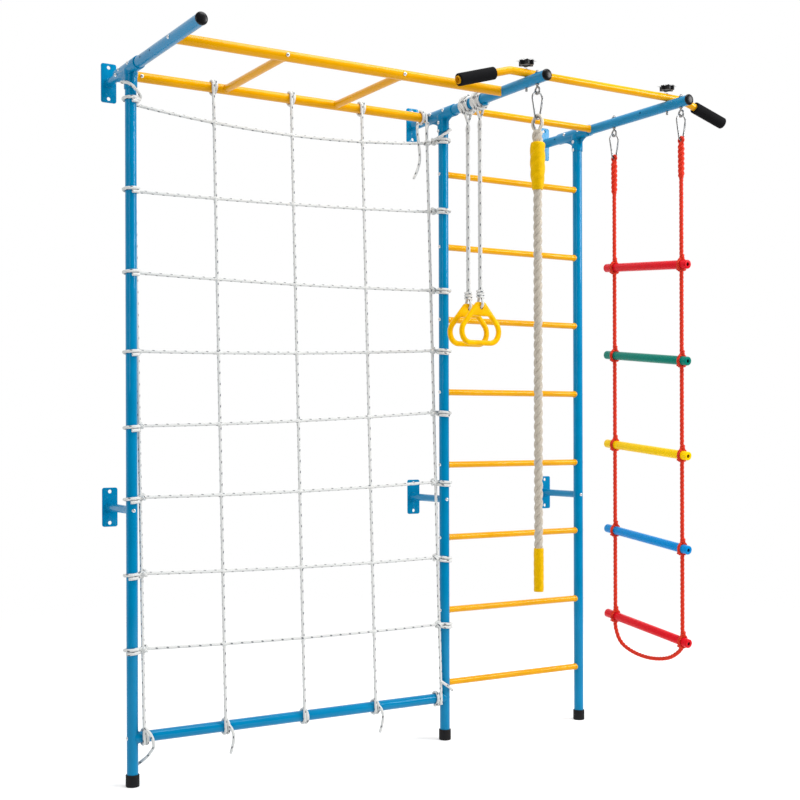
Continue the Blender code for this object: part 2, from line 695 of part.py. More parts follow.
def snap_hook(name, gate_name, eye):
    """A pear-shaped wire hook through an eye bolt, and its gate on the side facing +X."""
    top = eye + Vector((0, 0, 2 * WIRE_R + LINK_GAP))
    high, low, lean = hook_corners(top)
    side = Vector((math.cos(lean), 0, -math.sin(lean)))
    upper, lower = high + side * HOOK_TOP_R, low + side * HOOK_BOTTOM_R
    hinge = upper.lerp(lower, 1 - GATE_END)
    latch = upper.lerp(lower, GATE_END)
    points = [latch]
    for center, radius, start, end in ((high, HOOK_TOP_R, -lean, math.pi + lean),
                                       (low, HOOK_BOTTOM_R, math.pi + lean, 2 * math.pi - lean)):
        for i in range(8):
            a = start + (end - start) * i / 7
            points.append(center + Vector((math.cos(a), 0, math.sin(a))) * radius)
    reach = WIRE_R + GATE_CLEARANCE
    way = (upper - lower).normalized()
    points.append(hinge - way * reach)
    tube(name, points, WIRE_R, STEEL, resolution=1, origin=eye)
    length = (latch - hinge).length - GATE_CLEARANCE
    profile = [(0.0, length), (WIRE_R - GATE_CHAMFER, length), (WIRE_R, length - GATE_CHAMFER)]
    for angle in (0, 30, 60):
        turn = math.radians(angle)
        profile.append((WIRE_R * math.cos(turn), -WIRE_R * math.sin(turn)))
    turned(gate_name, profile + [(0.0, -WIRE_R)], STEEL, hinge, along(hinge, latch), 10)
    print(name, "swings at", tuple(round(v, 5) for v in eye), "gate turns at",
          tuple(round(v, 5) for v in hinge))
    return top - Vector((0, 0, HOOK_LENGTH))


def make_climbing_rope():
    eye = eye_bolt("rope_eye_bolt", MIDDLE, ROPE_EYE_REACH)
    saddle = snap_hook("rope_snap_hook", "rope_hook_gate", eye)
    print("climbing rope swings at", tuple(round(v, 5) for v in saddle))
    top = saddle.z + WIRE_R + LINK_GAP + THIMBLE_WIRE_R
    reach = -ROPE_EYE_REACH
    center = place(MIDDLE, reach, 0)
    center.z = top - THIMBLE_R
    points = [center + Vector((0, THIMBLE_R * math.cos(a), THIMBLE_R * math.sin(a)))
              for a in [math.radians(-THIMBLE_OPEN + (180 + 2 * THIMBLE_OPEN) * i / 10) for i in range(11)]]
    tip = Vector((center.x, center.y, top - THIMBLE_DEPTH))
    points.append(tip)
    tube("rope_thimble", points, THIMBLE_WIRE_R, STEEL, resolution=1, closed=True, origin=saddle)
    head = tip.z + THIMBLE_IN_ROPE
    shoulder = head - ROPE_NECK_LENGTH
    tail = head - ROPE_LENGTH + ROPE_TAIL_LENGTH
    end = head - ROPE_LENGTH
    heights = [head, head - ROPE_TAPER, shoulder + ROPE_TAPER, shoulder - ROPE_TAPER * 0.6]
    radii = [ROPE_NECK_R * 0.7, ROPE_NECK_R, ROPE_NECK_R, ROPE_R]
    steps = 18
    for i in range(1, steps + 1):
        heights.append(shoulder + (tail - shoulder) * i / steps)
        radii.append(ROPE_R)
    heights += [tail - ROPE_TAIL_TAPER / 4, end + ROPE_TAIL_TAPER, end + ROPE_TAIL_TAPER / 4, end]
    radii += [ROPE_TAIL_R, ROPE_TAIL_R, ROPE_TAIL_R * 0.86, ROPE_TAIL_R * 0.55]
    rope = tube("climbing_rope", [Vector((tip.x, tip.y, z)) for z in heights], ROPE_R, HEMP,
                resolution=3, radii=radii, origin=saddle)
    cut(rope, tube("thimble_seat", points, THIMBLE_WIRE_R + 2 * GAP, STEEL, resolution=2, closed=True))
    bore = (ROPE_R + 2 * GAP) / math.cos(math.pi / TUBE_SIDES)
    length, taper, lip = ROPE_SLEEVE_LENGTH, ROPE_SLEEVE_TAPER, ROPE_SLEEVE_LIP
    section = [(bore, length), (ROPE_SLEEVE_R - lip, length), (ROPE_SLEEVE_R, length - taper),
               (ROPE_SLEEVE_R, taper), (ROPE_SLEEVE_R - lip, 0.0), (bore, 0.0)]
    foot = Vector((tip.x, tip.y, shoulder - ROPE_SLEEVE_SETBACK - length))
    turned("rope_sleeve", section, SLEEVE_YELLOW, foot, ring=True)


def below_beam(x, y, drop):
    return place(x, y, BEAM_HEIGHT - drop)


def ladder_rung_ends(back, front):
    """World ends of a rope-ladder rung, given its drops at the wall end and at the free end."""
    return (below_beam(RIGHT, -LADDER_EYE_REACH_BACK + LADDER_RUNG_PROUD_BACK, back),
            below_beam(RIGHT, -LADDER_EYE_REACH_FRONT - LADDER_RUNG_PROUD_FRONT, front))


def make_rope_ladder():
    """Five rungs in one rope whose slack hangs below them, hooked to two eye bolts."""
    pieces, origin = [], None
    tops = []
    for number, reach in ((1, LADDER_EYE_REACH_BACK), (2, LADDER_EYE_REACH_FRONT)):
        eye = eye_bolt("ladder_eye_bolt_%d" % number, RIGHT, reach)
        origin = origin or eye
        saddle = snap_hook("ladder_snap_hook_%d" % number, "ladder_hook_gate_%d" % number, eye)
        center = saddle + Vector((0, 0, WIRE_R + LINK_GAP + LADDER_EYE_ROPE_R - LADDER_EYE_R))
        loop = [center + Vector((0, math.cos(a), math.sin(a))) * LADDER_EYE_R
                for a in [2 * math.pi * i / 12 for i in range(12)]]
        pieces.append(tube("eye", loop, LADDER_EYE_ROPE_R, RED_ROPE, resolution=1, closed=True))
        low = below_beam(RIGHT, -reach, LADDER_SPLICE_DROP)
        top = Vector((low.x, low.y, center.z - LADDER_EYE_R))
        pieces.append(rod("splice", top, low, LADDER_SPLICE_R, RED_ROPE, 10, LADDER_ROPE_R * 1.1))
        tops.append(top - Vector((0, 0, LADDER_SPLICE_R)))
    spacing = CORD_STEP * LADDER_ROPE_R
    slack = [below_beam(RIGHT, -reach, drop) for reach, drop in LADDER_LOOP]
    turns = []
    for top, drop in zip(tops, LADDER_RUNG_DROPS[-1]):
        near = Vector((top.x, top.y, -drop))
        count = round((top.z - near.z) / spacing)
        leg = [top.lerp(near, i / count) for i in range(count)]
        turns.append((leg, near))
    bottom = smooth_route([turns[0][0][-1], turns[0][1]] + slack + [turns[1][1], turns[1][0][-1]], spacing)
    route = turns[0][0][:-1] + bottom + turns[1][0][:-1][::-1]
    pieces.insert(0, tube("ladder_rope", route, LADDER_ROPE_R, RED_ROPE, resolution=2))
    print("ladder rope points", len(route), "length",
          round(sum((b - a).length for a, b in zip(route, route[1:])), 4))
    for back, front in LADDER_RUNG_DROPS:
        start, end = ladder_rung_ends(back, front)
        way = (end - start).normalized()
        for reach in (LADDER_EYE_REACH_BACK, LADDER_EYE_REACH_FRONT):
            y = place(RIGHT, -reach, 0).y
            middle = start.lerp(end, (y - start.y) / (end.y - start.y))
            half = way * LADDER_COLLAR_WIDTH / 2
            pieces.append(rod("collar", middle - half, middle + half, LADDER_COLLAR_R, RED_ROPE, BAR_SIDES))
    rope = fuse(pieces, origin=origin)
    colors = (RED, GREEN, RUNG_YELLOW, RUNG_BLUE, RED)
    for number, ((back, front), paint) in enumerate(zip(LADDER_RUNG_DROPS, colors)):
        start, end = ladder_rung_ends(back, front)
        length, chamfer = (end - start).length, LADDER_RUNG_CHAMFER
        profile = [(0.0, length), (LADDER_RUNG_R - chamfer, length), (LADDER_RUNG_R, length - chamfer),
                   (LADDER_RUNG_R, chamfer), (LADDER_RUNG_R - chamfer, 0.0), (0.0, 0.0)]
        turned("ladder_rung_%d" % (number + 1), profile, paint, start, along(start, end), BAR_SIDES)
        past = (end - start).normalized() * OVERHANG
        cut(rope, clearance("rung_seat", start - past, end + past, LADDER_RUNG_R))


def inset(points, distances):
    """A counterclockwise outline whose edges are moved inwards, each by its own distance."""
    lines = []
    for i, point in enumerate(points):
        start, end = Vector(point), Vector(points[(i + 1) % len(points)])
        way = (end - start).normalized()
        lines.append((start + Vector((-way.y, way.x)) * distances[i], way))
    moved = []
    for i, (start, way) in enumerate(lines):
        before, turn = lines[i - 1]
        t = ((start - before).x * way.y - (start - before).y * way.x) / (turn.x * way.y - turn.y * way.x)
        moved.append(before + turn * t)
    return moved


def round_outline(points, radii, steps):
    flat_points = [Vector((x, y, 0.0)) for x, y in points]
    rounded = []
    for i, corner in enumerate(flat_points):
        after = flat_points[(i + 1) % len(flat_points)]
        rounded += rounded_corner(flat_points[i - 1], corner, after, radii[i], steps)
    return [(p.x, p.y) for p in rounded]


def make_ring(number, reach):
    """A rounded triangular grip: a solid top with the rope hole, and a D-shaped hole for the hand."""
    hole = below_beam(MIDDLE, -reach, RING_DROP + RING_HOLE_DROP)
    top = RING_HOLE_DROP
    low = top - RING_HEIGHT
    shoulder = low + RING_HEIGHT * RING_SHOULDER_SHARE
    half, crown = RING_WIDTH / 2, RING_TOP_WIDTH / 2
    base = half * RING_BASE_SHARE
    corners = [(-base, low), (base, low), (half, shoulder), (crown, top), (-crown, top), (-half, shoulder)]
    outer_radii = [RING_CROWN_R if y == top else RING_CORNER_R for x, y in corners]
    outer = round_outline(corners, outer_radii, 3)
    inner = inset(corners, [RING_CROSSBAR if i == 3 else RING_BAR for i in range(len(corners))])
    grip_radii = [RING_GRIP_TOP_R if y == top else RING_GRIP_CORNER_R for x, y in corners]
    grip = round_outline(inner, grip_radii, 2)
    rope_hole = circle(RING_HOLE_R, 10)
    flat("gym_ring_%d" % number, [outer, grip[::-1], rope_hole[::-1]], RING_BAR, YELLOW, hole, FACING_ROOM,
         RING_ROUNDING, sharp=60.0)
    print("gym ring", number, "turns at", tuple(round(v, 5) for v in hole))
    return hole


def tangent_spoke(axis, center, target, radius, leaving):
    """Unit vector to where a taut rope to the target leaves, or meets, a winding round the axis."""
    axis, toward = Vector(axis), Vector(target) - Vector(center)
    toward -= axis * toward.dot(axis)
    angle = math.acos(radius / toward.length) * (-1 if leaving else 1)
    return Matrix.Rotation(angle, 3, axis) @ toward.normalized()


def make_ring_rope(number, reach, hole):
    """One rope: lashed round the beam, down through the ring's hole, and up to its second lashing."""
    radius = wrap_radius(TUBE_R, RING_ROPE_R)
    pitch = 2 * RING_ROPE_R + WIND_GAP
    bend = RING_BAR / 2 + RING_ROPE_R + RING_ROPE_SLACK
    offset = pitch * RING_LEG_OFFSET
    low = hole + Vector((0, 0, bend))
    u_turn = [low + Vector((0, math.cos(a), -math.sin(a))) * bend
              for a in [math.pi * i / 8 for i in range(9)]]
    axis = (0, 1, 0)
    leave = place(MIDDLE, -reach + offset, BEAM_HEIGHT)
    meet = place(MIDDLE, -reach - offset, BEAM_HEIGHT)
    first = wind(leave, axis, tangent_spoke(axis, leave, u_turn[0], radius, True), radius, -pitch,
                 -RING_LASHING_TURNS, 0)
    last = wind(meet, axis, tangent_spoke(axis, meet, u_turn[-1], radius, False), radius, -pitch,
                0, RING_LASHING_TURNS)
    count = round((first[-1] - u_turn[0]).length / (CORD_STEP * RING_ROPE_R))
    down = [first[-1].lerp(u_turn[0], i / count) for i in range(1, count)]
    up = [u_turn[-1].lerp(last[0], i / count) for i in range(1, count)]
    route = first + down + u_turn + up + last
    print("ring rope", number, "least gap to itself", round(least_gap(route, RING_ROPE_R), 5), "length",
          round(sum((b - a).length for a, b in zip(route, route[1:])), 4))
    tube("ring_rope_%d" % number, route, RING_ROPE_R, WHITE_ROPE, resolution=1,
         origin=place(MIDDLE, -reach, BEAM_HEIGHT))


def net_depth(height):
    """How far behind the posts' plane the net hangs: it leans forward from the rail to the bottom bar."""
    top = BACK_RAIL_SETBACK - RAIL_R - NET_R
    low = -TUBE_R - NET_R
    return low + (top - low) * (height - BOTTOM_BAR_HEIGHT) / (BEAM_HEIGHT - BOTTOM_BAR_HEIGHT)


def make_net():
    """Rows tied round the two posts and columns tied round the back rail and the bottom bar."""
    columns = len(NET_COLUMN_DRIFT)
    step = (LEFT_BAY - 2 * NET_INSET) / (columns - 1)
    offsets = [LEFT + NET_INSET + step * k + drift for k, drift in enumerate(NET_COLUMN_DRIFT)]
    first_row = BEAM_HEIGHT - NET_TOP_DROP
    low_left, low_right = BOTTOM_BAR_HEIGHT + NET_LOW_LEFT, BOTTOM_BAR_HEIGHT + NET_LOW_RIGHT
    left_rows = [first_row + (low_left - first_row) * share for share in NET_SPREAD_LEFT]
    right_rows = [first_row + (low_right - first_row) * share for share in NET_SPREAD_RIGHT]
    crossings = []
    for row, (left, right) in enumerate(zip(left_rows, right_rows)):
        line = []
        for x in offsets:
            t = (x - LEFT) / LEFT_BAY
            sag = (NET_TOP_SAG if row == 0 else NET_SAG) * 4 * t * (1 - t)
            height = left + (right - left) * t - sag
            line.append(place(x, net_depth(height), height))
        crossings.append(line)
    pitch = 2 * NET_R + WIND_GAP
    ropes, least = [], 1.0
    upright, level = (0, 0, 1), (1, 0, 0)
    radius = wrap_radius(TUBE_R, NET_R)
    for row, line in enumerate(crossings):
        start = place(LEFT, 0, left_rows[row])
        end = place(MIDDLE, 0, right_rows[row])
        first = wind(start, upright, tangent_spoke(upright, start, line[0], radius, True), radius, pitch,
                     -NET_TURNS, 0)
        last = wind(end, upright, tangent_spoke(upright, end, line[-1], radius, False), radius, -pitch,
                    0, NET_TURNS)
        ropes.append(first + line + last)
    rail_radius = wrap_radius(RAIL_R, NET_R)
    for k, x in enumerate(offsets):
        hand = -1 if k == columns - 1 else 1
        top = place(x, BACK_RAIL_SETBACK, BEAM_HEIGHT)
        low = place(x, 0, BOTTOM_BAR_HEIGHT)
        column = [line[k] for line in crossings]
        first = wind(top, level, tangent_spoke(level, top, column[0], rail_radius, True), rail_radius,
                     -pitch * hand, -NET_TURNS, 0)
        last = wind(low, level, tangent_spoke(level, low, column[-1], radius, False), radius,
                    pitch * hand, 0, NET_TURNS)
        ropes.append(first + column + last)
    for route in ropes:
        least = min(least, least_gap(route, NET_R))
    print("net ropes", len(ropes), "least gap of a winding to itself", round(least, 5))
    fuse([tube("climbing_net" if not i else "rope", route, NET_R, WHITE_ROPE, resolution=1)
          for i, route in enumerate(ropes)])


make_posts()
make_bars()
make_wall_rungs()
for side_name, beam_x in zip(SIDE_NAMES, BEAM_X):
    make_saddle(side_name, beam_x)
make_beams()
make_wall_brackets()
make_monkey_bars()
make_pull_up_bar()
make_climbing_rope()
make_rope_ladder()
for ring_number, ring_reach in enumerate(RING_REACHES, 1):
    make_ring_rope(ring_number, ring_reach, make_ring(ring_number, ring_reach))
make_net()
print("nodes", len(parts.objects))
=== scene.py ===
# %% [markdown]
# # A wall-mounted climbing frame, dressed from its CAD
# Three posts and three beams of painted steel tube stand against a wall and carry wall rungs,
# monkey bars, a pull-up bar, a rope net, gym rings, a climbing rope and a rope ladder. The packed
# CAD settles every size, place and joint, so it is loaded first and never moved. It shows its round
# tubes with 16 flat sides and its ropes as plain rods, which is enough for the physics. Each piece
# gets a finer twin here, made at the very same place.

# %% Load the frame
import json
import math

import bmesh
import bpy
from mathutils import Matrix, Vector

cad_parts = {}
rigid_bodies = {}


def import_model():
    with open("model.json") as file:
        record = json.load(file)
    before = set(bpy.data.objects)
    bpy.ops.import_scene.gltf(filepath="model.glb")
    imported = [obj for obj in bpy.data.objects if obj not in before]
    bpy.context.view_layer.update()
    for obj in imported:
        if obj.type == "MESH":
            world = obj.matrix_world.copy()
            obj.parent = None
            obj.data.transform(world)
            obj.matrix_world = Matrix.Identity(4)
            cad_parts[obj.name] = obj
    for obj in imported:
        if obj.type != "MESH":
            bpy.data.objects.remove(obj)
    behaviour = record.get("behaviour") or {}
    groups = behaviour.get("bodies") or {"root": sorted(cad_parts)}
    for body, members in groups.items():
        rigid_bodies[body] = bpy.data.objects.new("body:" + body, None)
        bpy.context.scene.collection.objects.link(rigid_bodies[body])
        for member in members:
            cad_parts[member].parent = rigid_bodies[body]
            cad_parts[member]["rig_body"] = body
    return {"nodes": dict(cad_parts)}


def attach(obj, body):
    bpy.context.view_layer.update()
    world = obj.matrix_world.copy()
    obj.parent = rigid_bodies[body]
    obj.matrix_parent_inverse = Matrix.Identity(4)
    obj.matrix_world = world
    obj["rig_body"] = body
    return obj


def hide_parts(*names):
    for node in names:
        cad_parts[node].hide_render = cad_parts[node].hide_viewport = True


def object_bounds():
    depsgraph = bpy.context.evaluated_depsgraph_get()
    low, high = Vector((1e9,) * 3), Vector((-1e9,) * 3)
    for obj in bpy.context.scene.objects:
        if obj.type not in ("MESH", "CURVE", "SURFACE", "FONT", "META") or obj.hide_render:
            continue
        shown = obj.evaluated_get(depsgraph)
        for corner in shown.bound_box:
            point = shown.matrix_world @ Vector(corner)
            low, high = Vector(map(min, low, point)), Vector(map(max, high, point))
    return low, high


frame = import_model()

cad_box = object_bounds()
print("CAD box", [round(v, 4) for corner in cad_box for v in corner])

# %% [markdown]
# ## The camera
# The view was solved from straight edges: the beams and the rungs give two vanishing points, and
# the three feet stand on one floor. The camera stands about four metres out into the room, 1.1 m
# over the floor, and looks level, turned 31.6 degrees from square on. A small lens shift frames
# the object as it is, because tilting the camera would make the posts converge.

# %% Camera
FOCAL_PIXELS = 1305.47
PICTURE = 800
SENSOR_MM = 36.0
AXIS_PIXEL = (413.3, 429.94)
CAMERA_PLACE = (-2.5001, -4.0671, -1.1109)
CAMERA_TURN = (math.radians(90), 0.0028, math.radians(-31.6))

bpy.ops.object.camera_add(location=CAMERA_PLACE, rotation=CAMERA_TURN)
camera = bpy.context.object
camera.data.sensor_width = SENSOR_MM
camera.data.lens = FOCAL_PIXELS * SENSOR_MM / PICTURE
camera.data.shift_x = (PICTURE / 2 - AXIS_PIXEL[0]) / PICTURE
camera.data.shift_y = (AXIS_PIXEL[1] - PICTURE / 2) / PICTURE
bpy.context.scene.camera = camera
print("lens", round(camera.data.lens, 2), "mm")

# %% [markdown]
# ## Light and floor
# A catalogue picture is lit by large soft boxes: one high on the right, which draws the bright
# stripe down each tube's right side, one over the top, and a weak one on the left. The background
# is white because the world is white to the camera, while the light that falls on the object comes
# from a dimmer sky. Reflections find a white wall behind the object and a dark room behind the
# camera, which keeps black rubber black and paint deep. The floor keeps the object's shadow, and
# fades away with distance, so no edge shows.

# %% Soft boxes
MIDDLE_OF_FRAME = (-0.25, -0.45, -1.0)
SOFT_BOXES = (("key_box", (3.4, -3.4, 0.9), 2.0, 165), ("top_box", (0.3, -1.6, 2.6), 2.4, 105),
              ("left_box", (-4.2, -2.6, 0.2), 2.2, 34))

for name, spot, width, watts in SOFT_BOXES:
    bpy.ops.object.light_add(type="AREA", location=spot)
    lamp = bpy.context.object
    lamp.name = name
    lamp.rotation_euler = (Vector(MIDDLE_OF_FRAME) - Vector(spot)).to_track_quat("-Z", "Y").to_euler()
    lamp.data.shape = "SQUARE"
    lamp.data.size = width
    lamp.data.energy = watts
bpy.context.scene.view_settings.view_transform = "Standard"
print("soft boxes", len(SOFT_BOXES))

# %% Node tables for the world and the floor
def make_nodes(tree, kinds):
    """Adds a node for each name and kind in a table."""
    return {name: tree.nodes.new("ShaderNode" + kind) for name, kind in kinds.items()}


def set_inputs(nodes, rows):
    """Sets sockets to plain values, from rows of (node, socket, value)."""
    for name, socket, value in rows:
        nodes[name].inputs[socket].default_value = value


def join_nodes(tree, nodes, rows):
    """Links nodes, from rows of (node, output, next node, its input)."""
    for source, output, target, entry in rows:
        tree.links.new(nodes[source].outputs[output], nodes[target].inputs[entry])


# %% World, white to the camera and pale in reflections
WHITE = (1.0, 1.0, 1.0, 1.0)
SKY_BEHIND_CAMERA = 0.42
SKY_OVER_WALL = 0.84
SKY_TURNS_AT = (-0.8, 0.8)
ROOM_BEHIND_CAMERA = 0.04
ROOM_TURNS_AT = (-0.25, 0.40)

world = bpy.data.worlds.new("studio")
world.use_nodes = True
bpy.context.scene.world = world
world_nodes = make_nodes(world.node_tree, {
    "white": "Background", "rays": "LightPath", "way": "TexCoord", "axes": "SeparateXYZ",
    "room_side": "MapRange", "sky_side": "MapRange", "mirrored": "Math", "either": "Math",
    "any_ray": "Math", "choose": "MixShader"})
world_nodes["sky"] = world.node_tree.nodes["Background"]
world_nodes["out"] = world.node_tree.nodes["World Output"]
world_nodes["mirrored"].operation = "MULTIPLY"
world_nodes["either"].operation = "MAXIMUM"
world_nodes["any_ray"].operation = "MAXIMUM"
set_inputs(world_nodes, (
    ("sky", "Color", WHITE), ("white", "Color", WHITE),
    ("room_side", "From Min", ROOM_TURNS_AT[0]), ("room_side", "From Max", ROOM_TURNS_AT[1]),
    ("room_side", "To Min", ROOM_BEHIND_CAMERA),
    ("sky_side", "From Min", SKY_TURNS_AT[0]), ("sky_side", "From Max", SKY_TURNS_AT[1]),
    ("sky_side", "To Min", SKY_BEHIND_CAMERA), ("sky_side", "To Max", SKY_OVER_WALL)))
join_nodes(world.node_tree, world_nodes, (
    ("way", "Generated", "axes", 0), ("axes", "Y", "room_side", "Value"), ("axes", "Y", "sky_side", "Value"),
    ("sky_side", "Result", "sky", "Strength"), ("rays", "Is Glossy Ray", "mirrored", 0),
    ("room_side", "Result", "mirrored", 1), ("rays", "Is Camera Ray", "either", 0),
    ("mirrored", 0, "either", 1), ("either", 0, "any_ray", 0), ("rays", "Is Transmission Ray", "any_ray", 1),
    ("any_ray", 0, "white", "Strength"), ("rays", "Is Diffuse Ray", "choose", 0),
    ("white", 0, "choose", 1), ("sky", 0, "choose", 2), ("choose", 0, "out", "Surface")))
print("world nodes", len(world_nodes))

# %% Floor that keeps the shadow and fades out
FLOOR_Z = cad_box[0].z
FLOOR_PLACE = (-0.3, -0.3, FLOOR_Z - 0.0005)
FLOOR_SIDES = 96
FLOOR_RADIUS = 6.0
FLOOR_FADE_FROM = 1.6
FLOOR_FADE_TO = 4.5
FLOOR_LIFT = 0.30
FLOOR_PALE = (0.86, 0.86, 0.86, 1.0)

bpy.ops.mesh.primitive_circle_add(vertices=FLOOR_SIDES, radius=FLOOR_RADIUS, fill_type="NGON",
                                  location=FLOOR_PLACE)
floor = bpy.context.object
floor.name = "floor"
paint = bpy.data.materials.new("floor_white")
paint.use_nodes = True
paint.node_tree.nodes.clear()
floor_nodes = make_nodes(paint.node_tree, {
    "out": "OutputMaterial", "matte": "BsdfDiffuse", "lift": "Emission", "sum": "AddShader",
    "clear": "BsdfTransparent", "fade": "MixShader", "place": "TexCoord", "far": "VectorMath",
    "range": "MapRange", "path": "LightPath", "both": "Math", "seen": "MixShader"})
floor_nodes["far"].operation = "LENGTH"
floor_nodes["range"].interpolation_type = "SMOOTHSTEP"
floor_nodes["both"].operation = "MAXIMUM"
set_inputs(floor_nodes, (
    ("matte", "Color", FLOOR_PALE), ("lift", "Strength", FLOOR_LIFT),
    ("range", "From Min", FLOOR_FADE_FROM), ("range", "From Max", FLOOR_FADE_TO)))
join_nodes(paint.node_tree, floor_nodes, (
    ("place", "Object", "far", 0), ("far", "Value", "range", "Value"), ("path", "Is Camera Ray", "both", 0),
    ("path", "Is Glossy Ray", "both", 1), ("matte", 0, "sum", 0), ("lift", 0, "sum", 1),
    ("both", 0, "seen", 0), ("matte", 0, "seen", 1), ("sum", 0, "seen", 2), ("range", "Result", "fade", 0),
    ("seen", 0, "fade", 1), ("clear", 0, "fade", 2), ("fade", 0, "out", "Surface")))
floor.data.materials.append(paint)
print("floor at", round(FLOOR_Z, 4))

# %% [markdown]
# ## Finishes
# Every finish is made of nodes that read each piece's own Object coordinates, which are metres
# here, so a scale of 700 means grains of about a millimetre and a half. Ropes read their UV map
# instead, with turns round the rope in U and metres along it in V, because a lay or a braid has to
# follow the rope round its bends. Values that are the same all over sit on the shader itself.

# %% Helpers for node materials
def new_look(name, roughness, metallic=0.0, **constants):
    """A Principled material with its plain values set on the shader's own sockets."""
    look = bpy.data.materials.new(name)
    look.use_nodes = True
    shader = look.node_tree.nodes["Principled BSDF"]
    shader.inputs["Roughness"].default_value = roughness
    shader.inputs["Metallic"].default_value = metallic
    for socket, value in constants.items():
        shader.inputs[socket.replace("_", " ")].default_value = value
    return look


def put(look, kind, inputs, **settings):
    """Adds a node, links the inputs that are sockets and sets the ones that are values."""
    made = look.node_tree.nodes.new("ShaderNode" + kind)
    for name, value in settings.items():
        setattr(made, name, value)
    for socket, value in inputs.items():
        if isinstance(value, bpy.types.NodeSocket):
            look.node_tree.links.new(value, made.inputs[socket])
        else:
            made.inputs[socket].default_value = value
    return made


def into_shader(look, socket, source):
    look.node_tree.links.new(source, look.node_tree.nodes["Principled BSDF"].inputs[socket])


def object_place(look):
    return put(look, "TexCoord", {}).outputs["Object"]


def noise(look, place, scale, detail=2.0, roughness=0.5):
    made = put(look, "TexNoise", {"Vector": place, "Scale": scale, "Detail": detail, "Roughness": roughness})
    return made.outputs["Fac"]


def ramp(look, source, stops):
    """A colour ramp with stops of (position, colour)."""
    made = put(look, "ValToRGB", {"Fac": source})
    elements = made.color_ramp.elements
    while len(elements) < len(stops):
        elements.new(0.5)
    for element, (position, color) in zip(elements, stops):
        element.position = position
        element.color = (*color, 1.0)
    return made.outputs["Color"]


def spread(look, source, low, high):
    """Maps a 0 to 1 value onto a range."""
    return put(look, "MapRange", {"Value": source, "To Min": low, "To Max": high}).outputs["Result"]


def math_node(look, operation, a, b=0.0):
    return put(look, "Math", {0: a, 1: b}, operation=operation).outputs[0]


def bump(look, height, depth, strength=1.0, under=None):
    """A normal from a height in metres, laid over another bump where one is given."""
    inputs = {"Height": height, "Distance": depth, "Strength": strength}
    if under is not None:
        inputs["Normal"] = under
    return put(look, "Bump", inputs).outputs["Normal"]


def shade(color, factor):
    return tuple(min(1.0, channel * factor) for channel in color)


def tint(look, source, color, dark, light, low=0.3, high=0.7):
    """Lets the base colour drift from a darker to a lighter shade of one colour."""
    stops = [(low, shade(color, dark)), (high, shade(color, light))]
    into_shader(look, "Base Color", ramp(look, source, stops))


print("node helpers ready")


# %% [markdown]
# ### Powder coat
# Powder coat is dry paint that melts into a skin in an oven. It flows a little as it melts, which
# leaves a faint orange peel and slow waves in the gloss. A dull patch here and there shows where
# hands rub. Two noises at unlike scales give the peel and the waves.

# %% Powder coat
PEEL_SCALE = 620.0
PEEL_DEPTH = 0.0003
SLOW_SCALE = 60.0
SLOW_DEPTH = 0.0006
WAVE_SCALE = 9.0
RUB_SCALE = 34.0


def powder_coat(name, color, gloss=0.30):
    look = new_look(name, gloss, Coat_Weight=0.27, Coat_Roughness=0.06, Specular_IOR_Level=0.22,
                    Specular_Tint=(*color, 1.0))
    place = object_place(look)
    tint(look, noise(look, place, WAVE_SCALE, 3.0), color, 0.93, 1.06)
    rub = noise(look, place, RUB_SCALE, 4.0, 0.65)
    into_shader(look, "Roughness", spread(look, rub, gloss - 0.08, gloss + 0.10))
    peel = noise(look, place, PEEL_SCALE, 1.0)
    slow = bump(look, noise(look, place, SLOW_SCALE, 2.0), SLOW_DEPTH, 0.25)
    into_shader(look, "Normal", bump(look, peel, PEEL_DEPTH, 0.22, slow))
    return look


BLUE_PAINT = (0.0, 0.210, 0.430)
YELLOW_PAINT = (0.78, 0.360, 0.0)
blue_coat = powder_coat("blue_powder_coat", BLUE_PAINT)
yellow_coat = powder_coat("yellow_powder_coat", YELLOW_PAINT)
print("coats", blue_coat.name, yellow_coat.name)

# %% [markdown]
# ### Rubber, foam and moulded plastic
# The feet are soft rubber with a matt, slightly dusty skin. The grips are closed-cell foam, whose
# cut cells scatter light, so it is nearly black with a rough bump and a little sheen. Knobs and end
# caps come from a spark-eroded mould, which leaves a fine even grain.

# %% Rubber, foam, plastic
DUST_SCALE = 25.0
NEAR_BLACK = (0.006, 0.006, 0.007)
RUBBER_BLACK = (0.010, 0.010, 0.011)
RING_YELLOW = (0.85, 0.45, 0.0)


def moulded(name, color, rough, grain_scale, grain_depth, **constants):
    """A moulded skin: a slow cloud in its colour and gloss, and a fine even grain."""
    look = new_look(name, rough, **constants)
    place = object_place(look)
    cloud = noise(look, place, DUST_SCALE, 4.0, 0.6)
    tint(look, cloud, color, 0.85, 1.2)
    grain = noise(look, place, grain_scale, 3.0, 0.6)
    into_shader(look, "Roughness", spread(look, cloud, rough - 0.06, rough + 0.08))
    into_shader(look, "Normal", bump(look, grain, grain_depth, 0.5))
    return look


rubber = moulded("black_rubber_skin", RUBBER_BLACK, 0.62, 900.0, 0.0003, Specular_IOR_Level=0.15)
cap_plastic = moulded("black_moulded_plastic", NEAR_BLACK, 0.30, 1500.0, 0.00012, Specular_IOR_Level=0.25)
foam = moulded("black_closed_cell_foam", NEAR_BLACK, 0.88, 1100.0, 0.0007, Specular_IOR_Level=0.10)
ring_plastic = moulded("yellow_moulded_plastic", RING_YELLOW, 0.32, 1800.0, 0.00008, Coat_Weight=0.06,
                       Specular_IOR_Level=0.30, Specular_Tint=(*RING_YELLOW, 1.0))
print("moulded skins", rubber.name, cap_plastic.name, foam.name, ring_plastic.name)

# %% [markdown]
# ### Zinc plate
# Bolts, eyes and hooks are zinc plated, a bright grey metal with a faint cloud in it. Roughness
# that drifts by a tenth keeps the wire from looking like chrome.

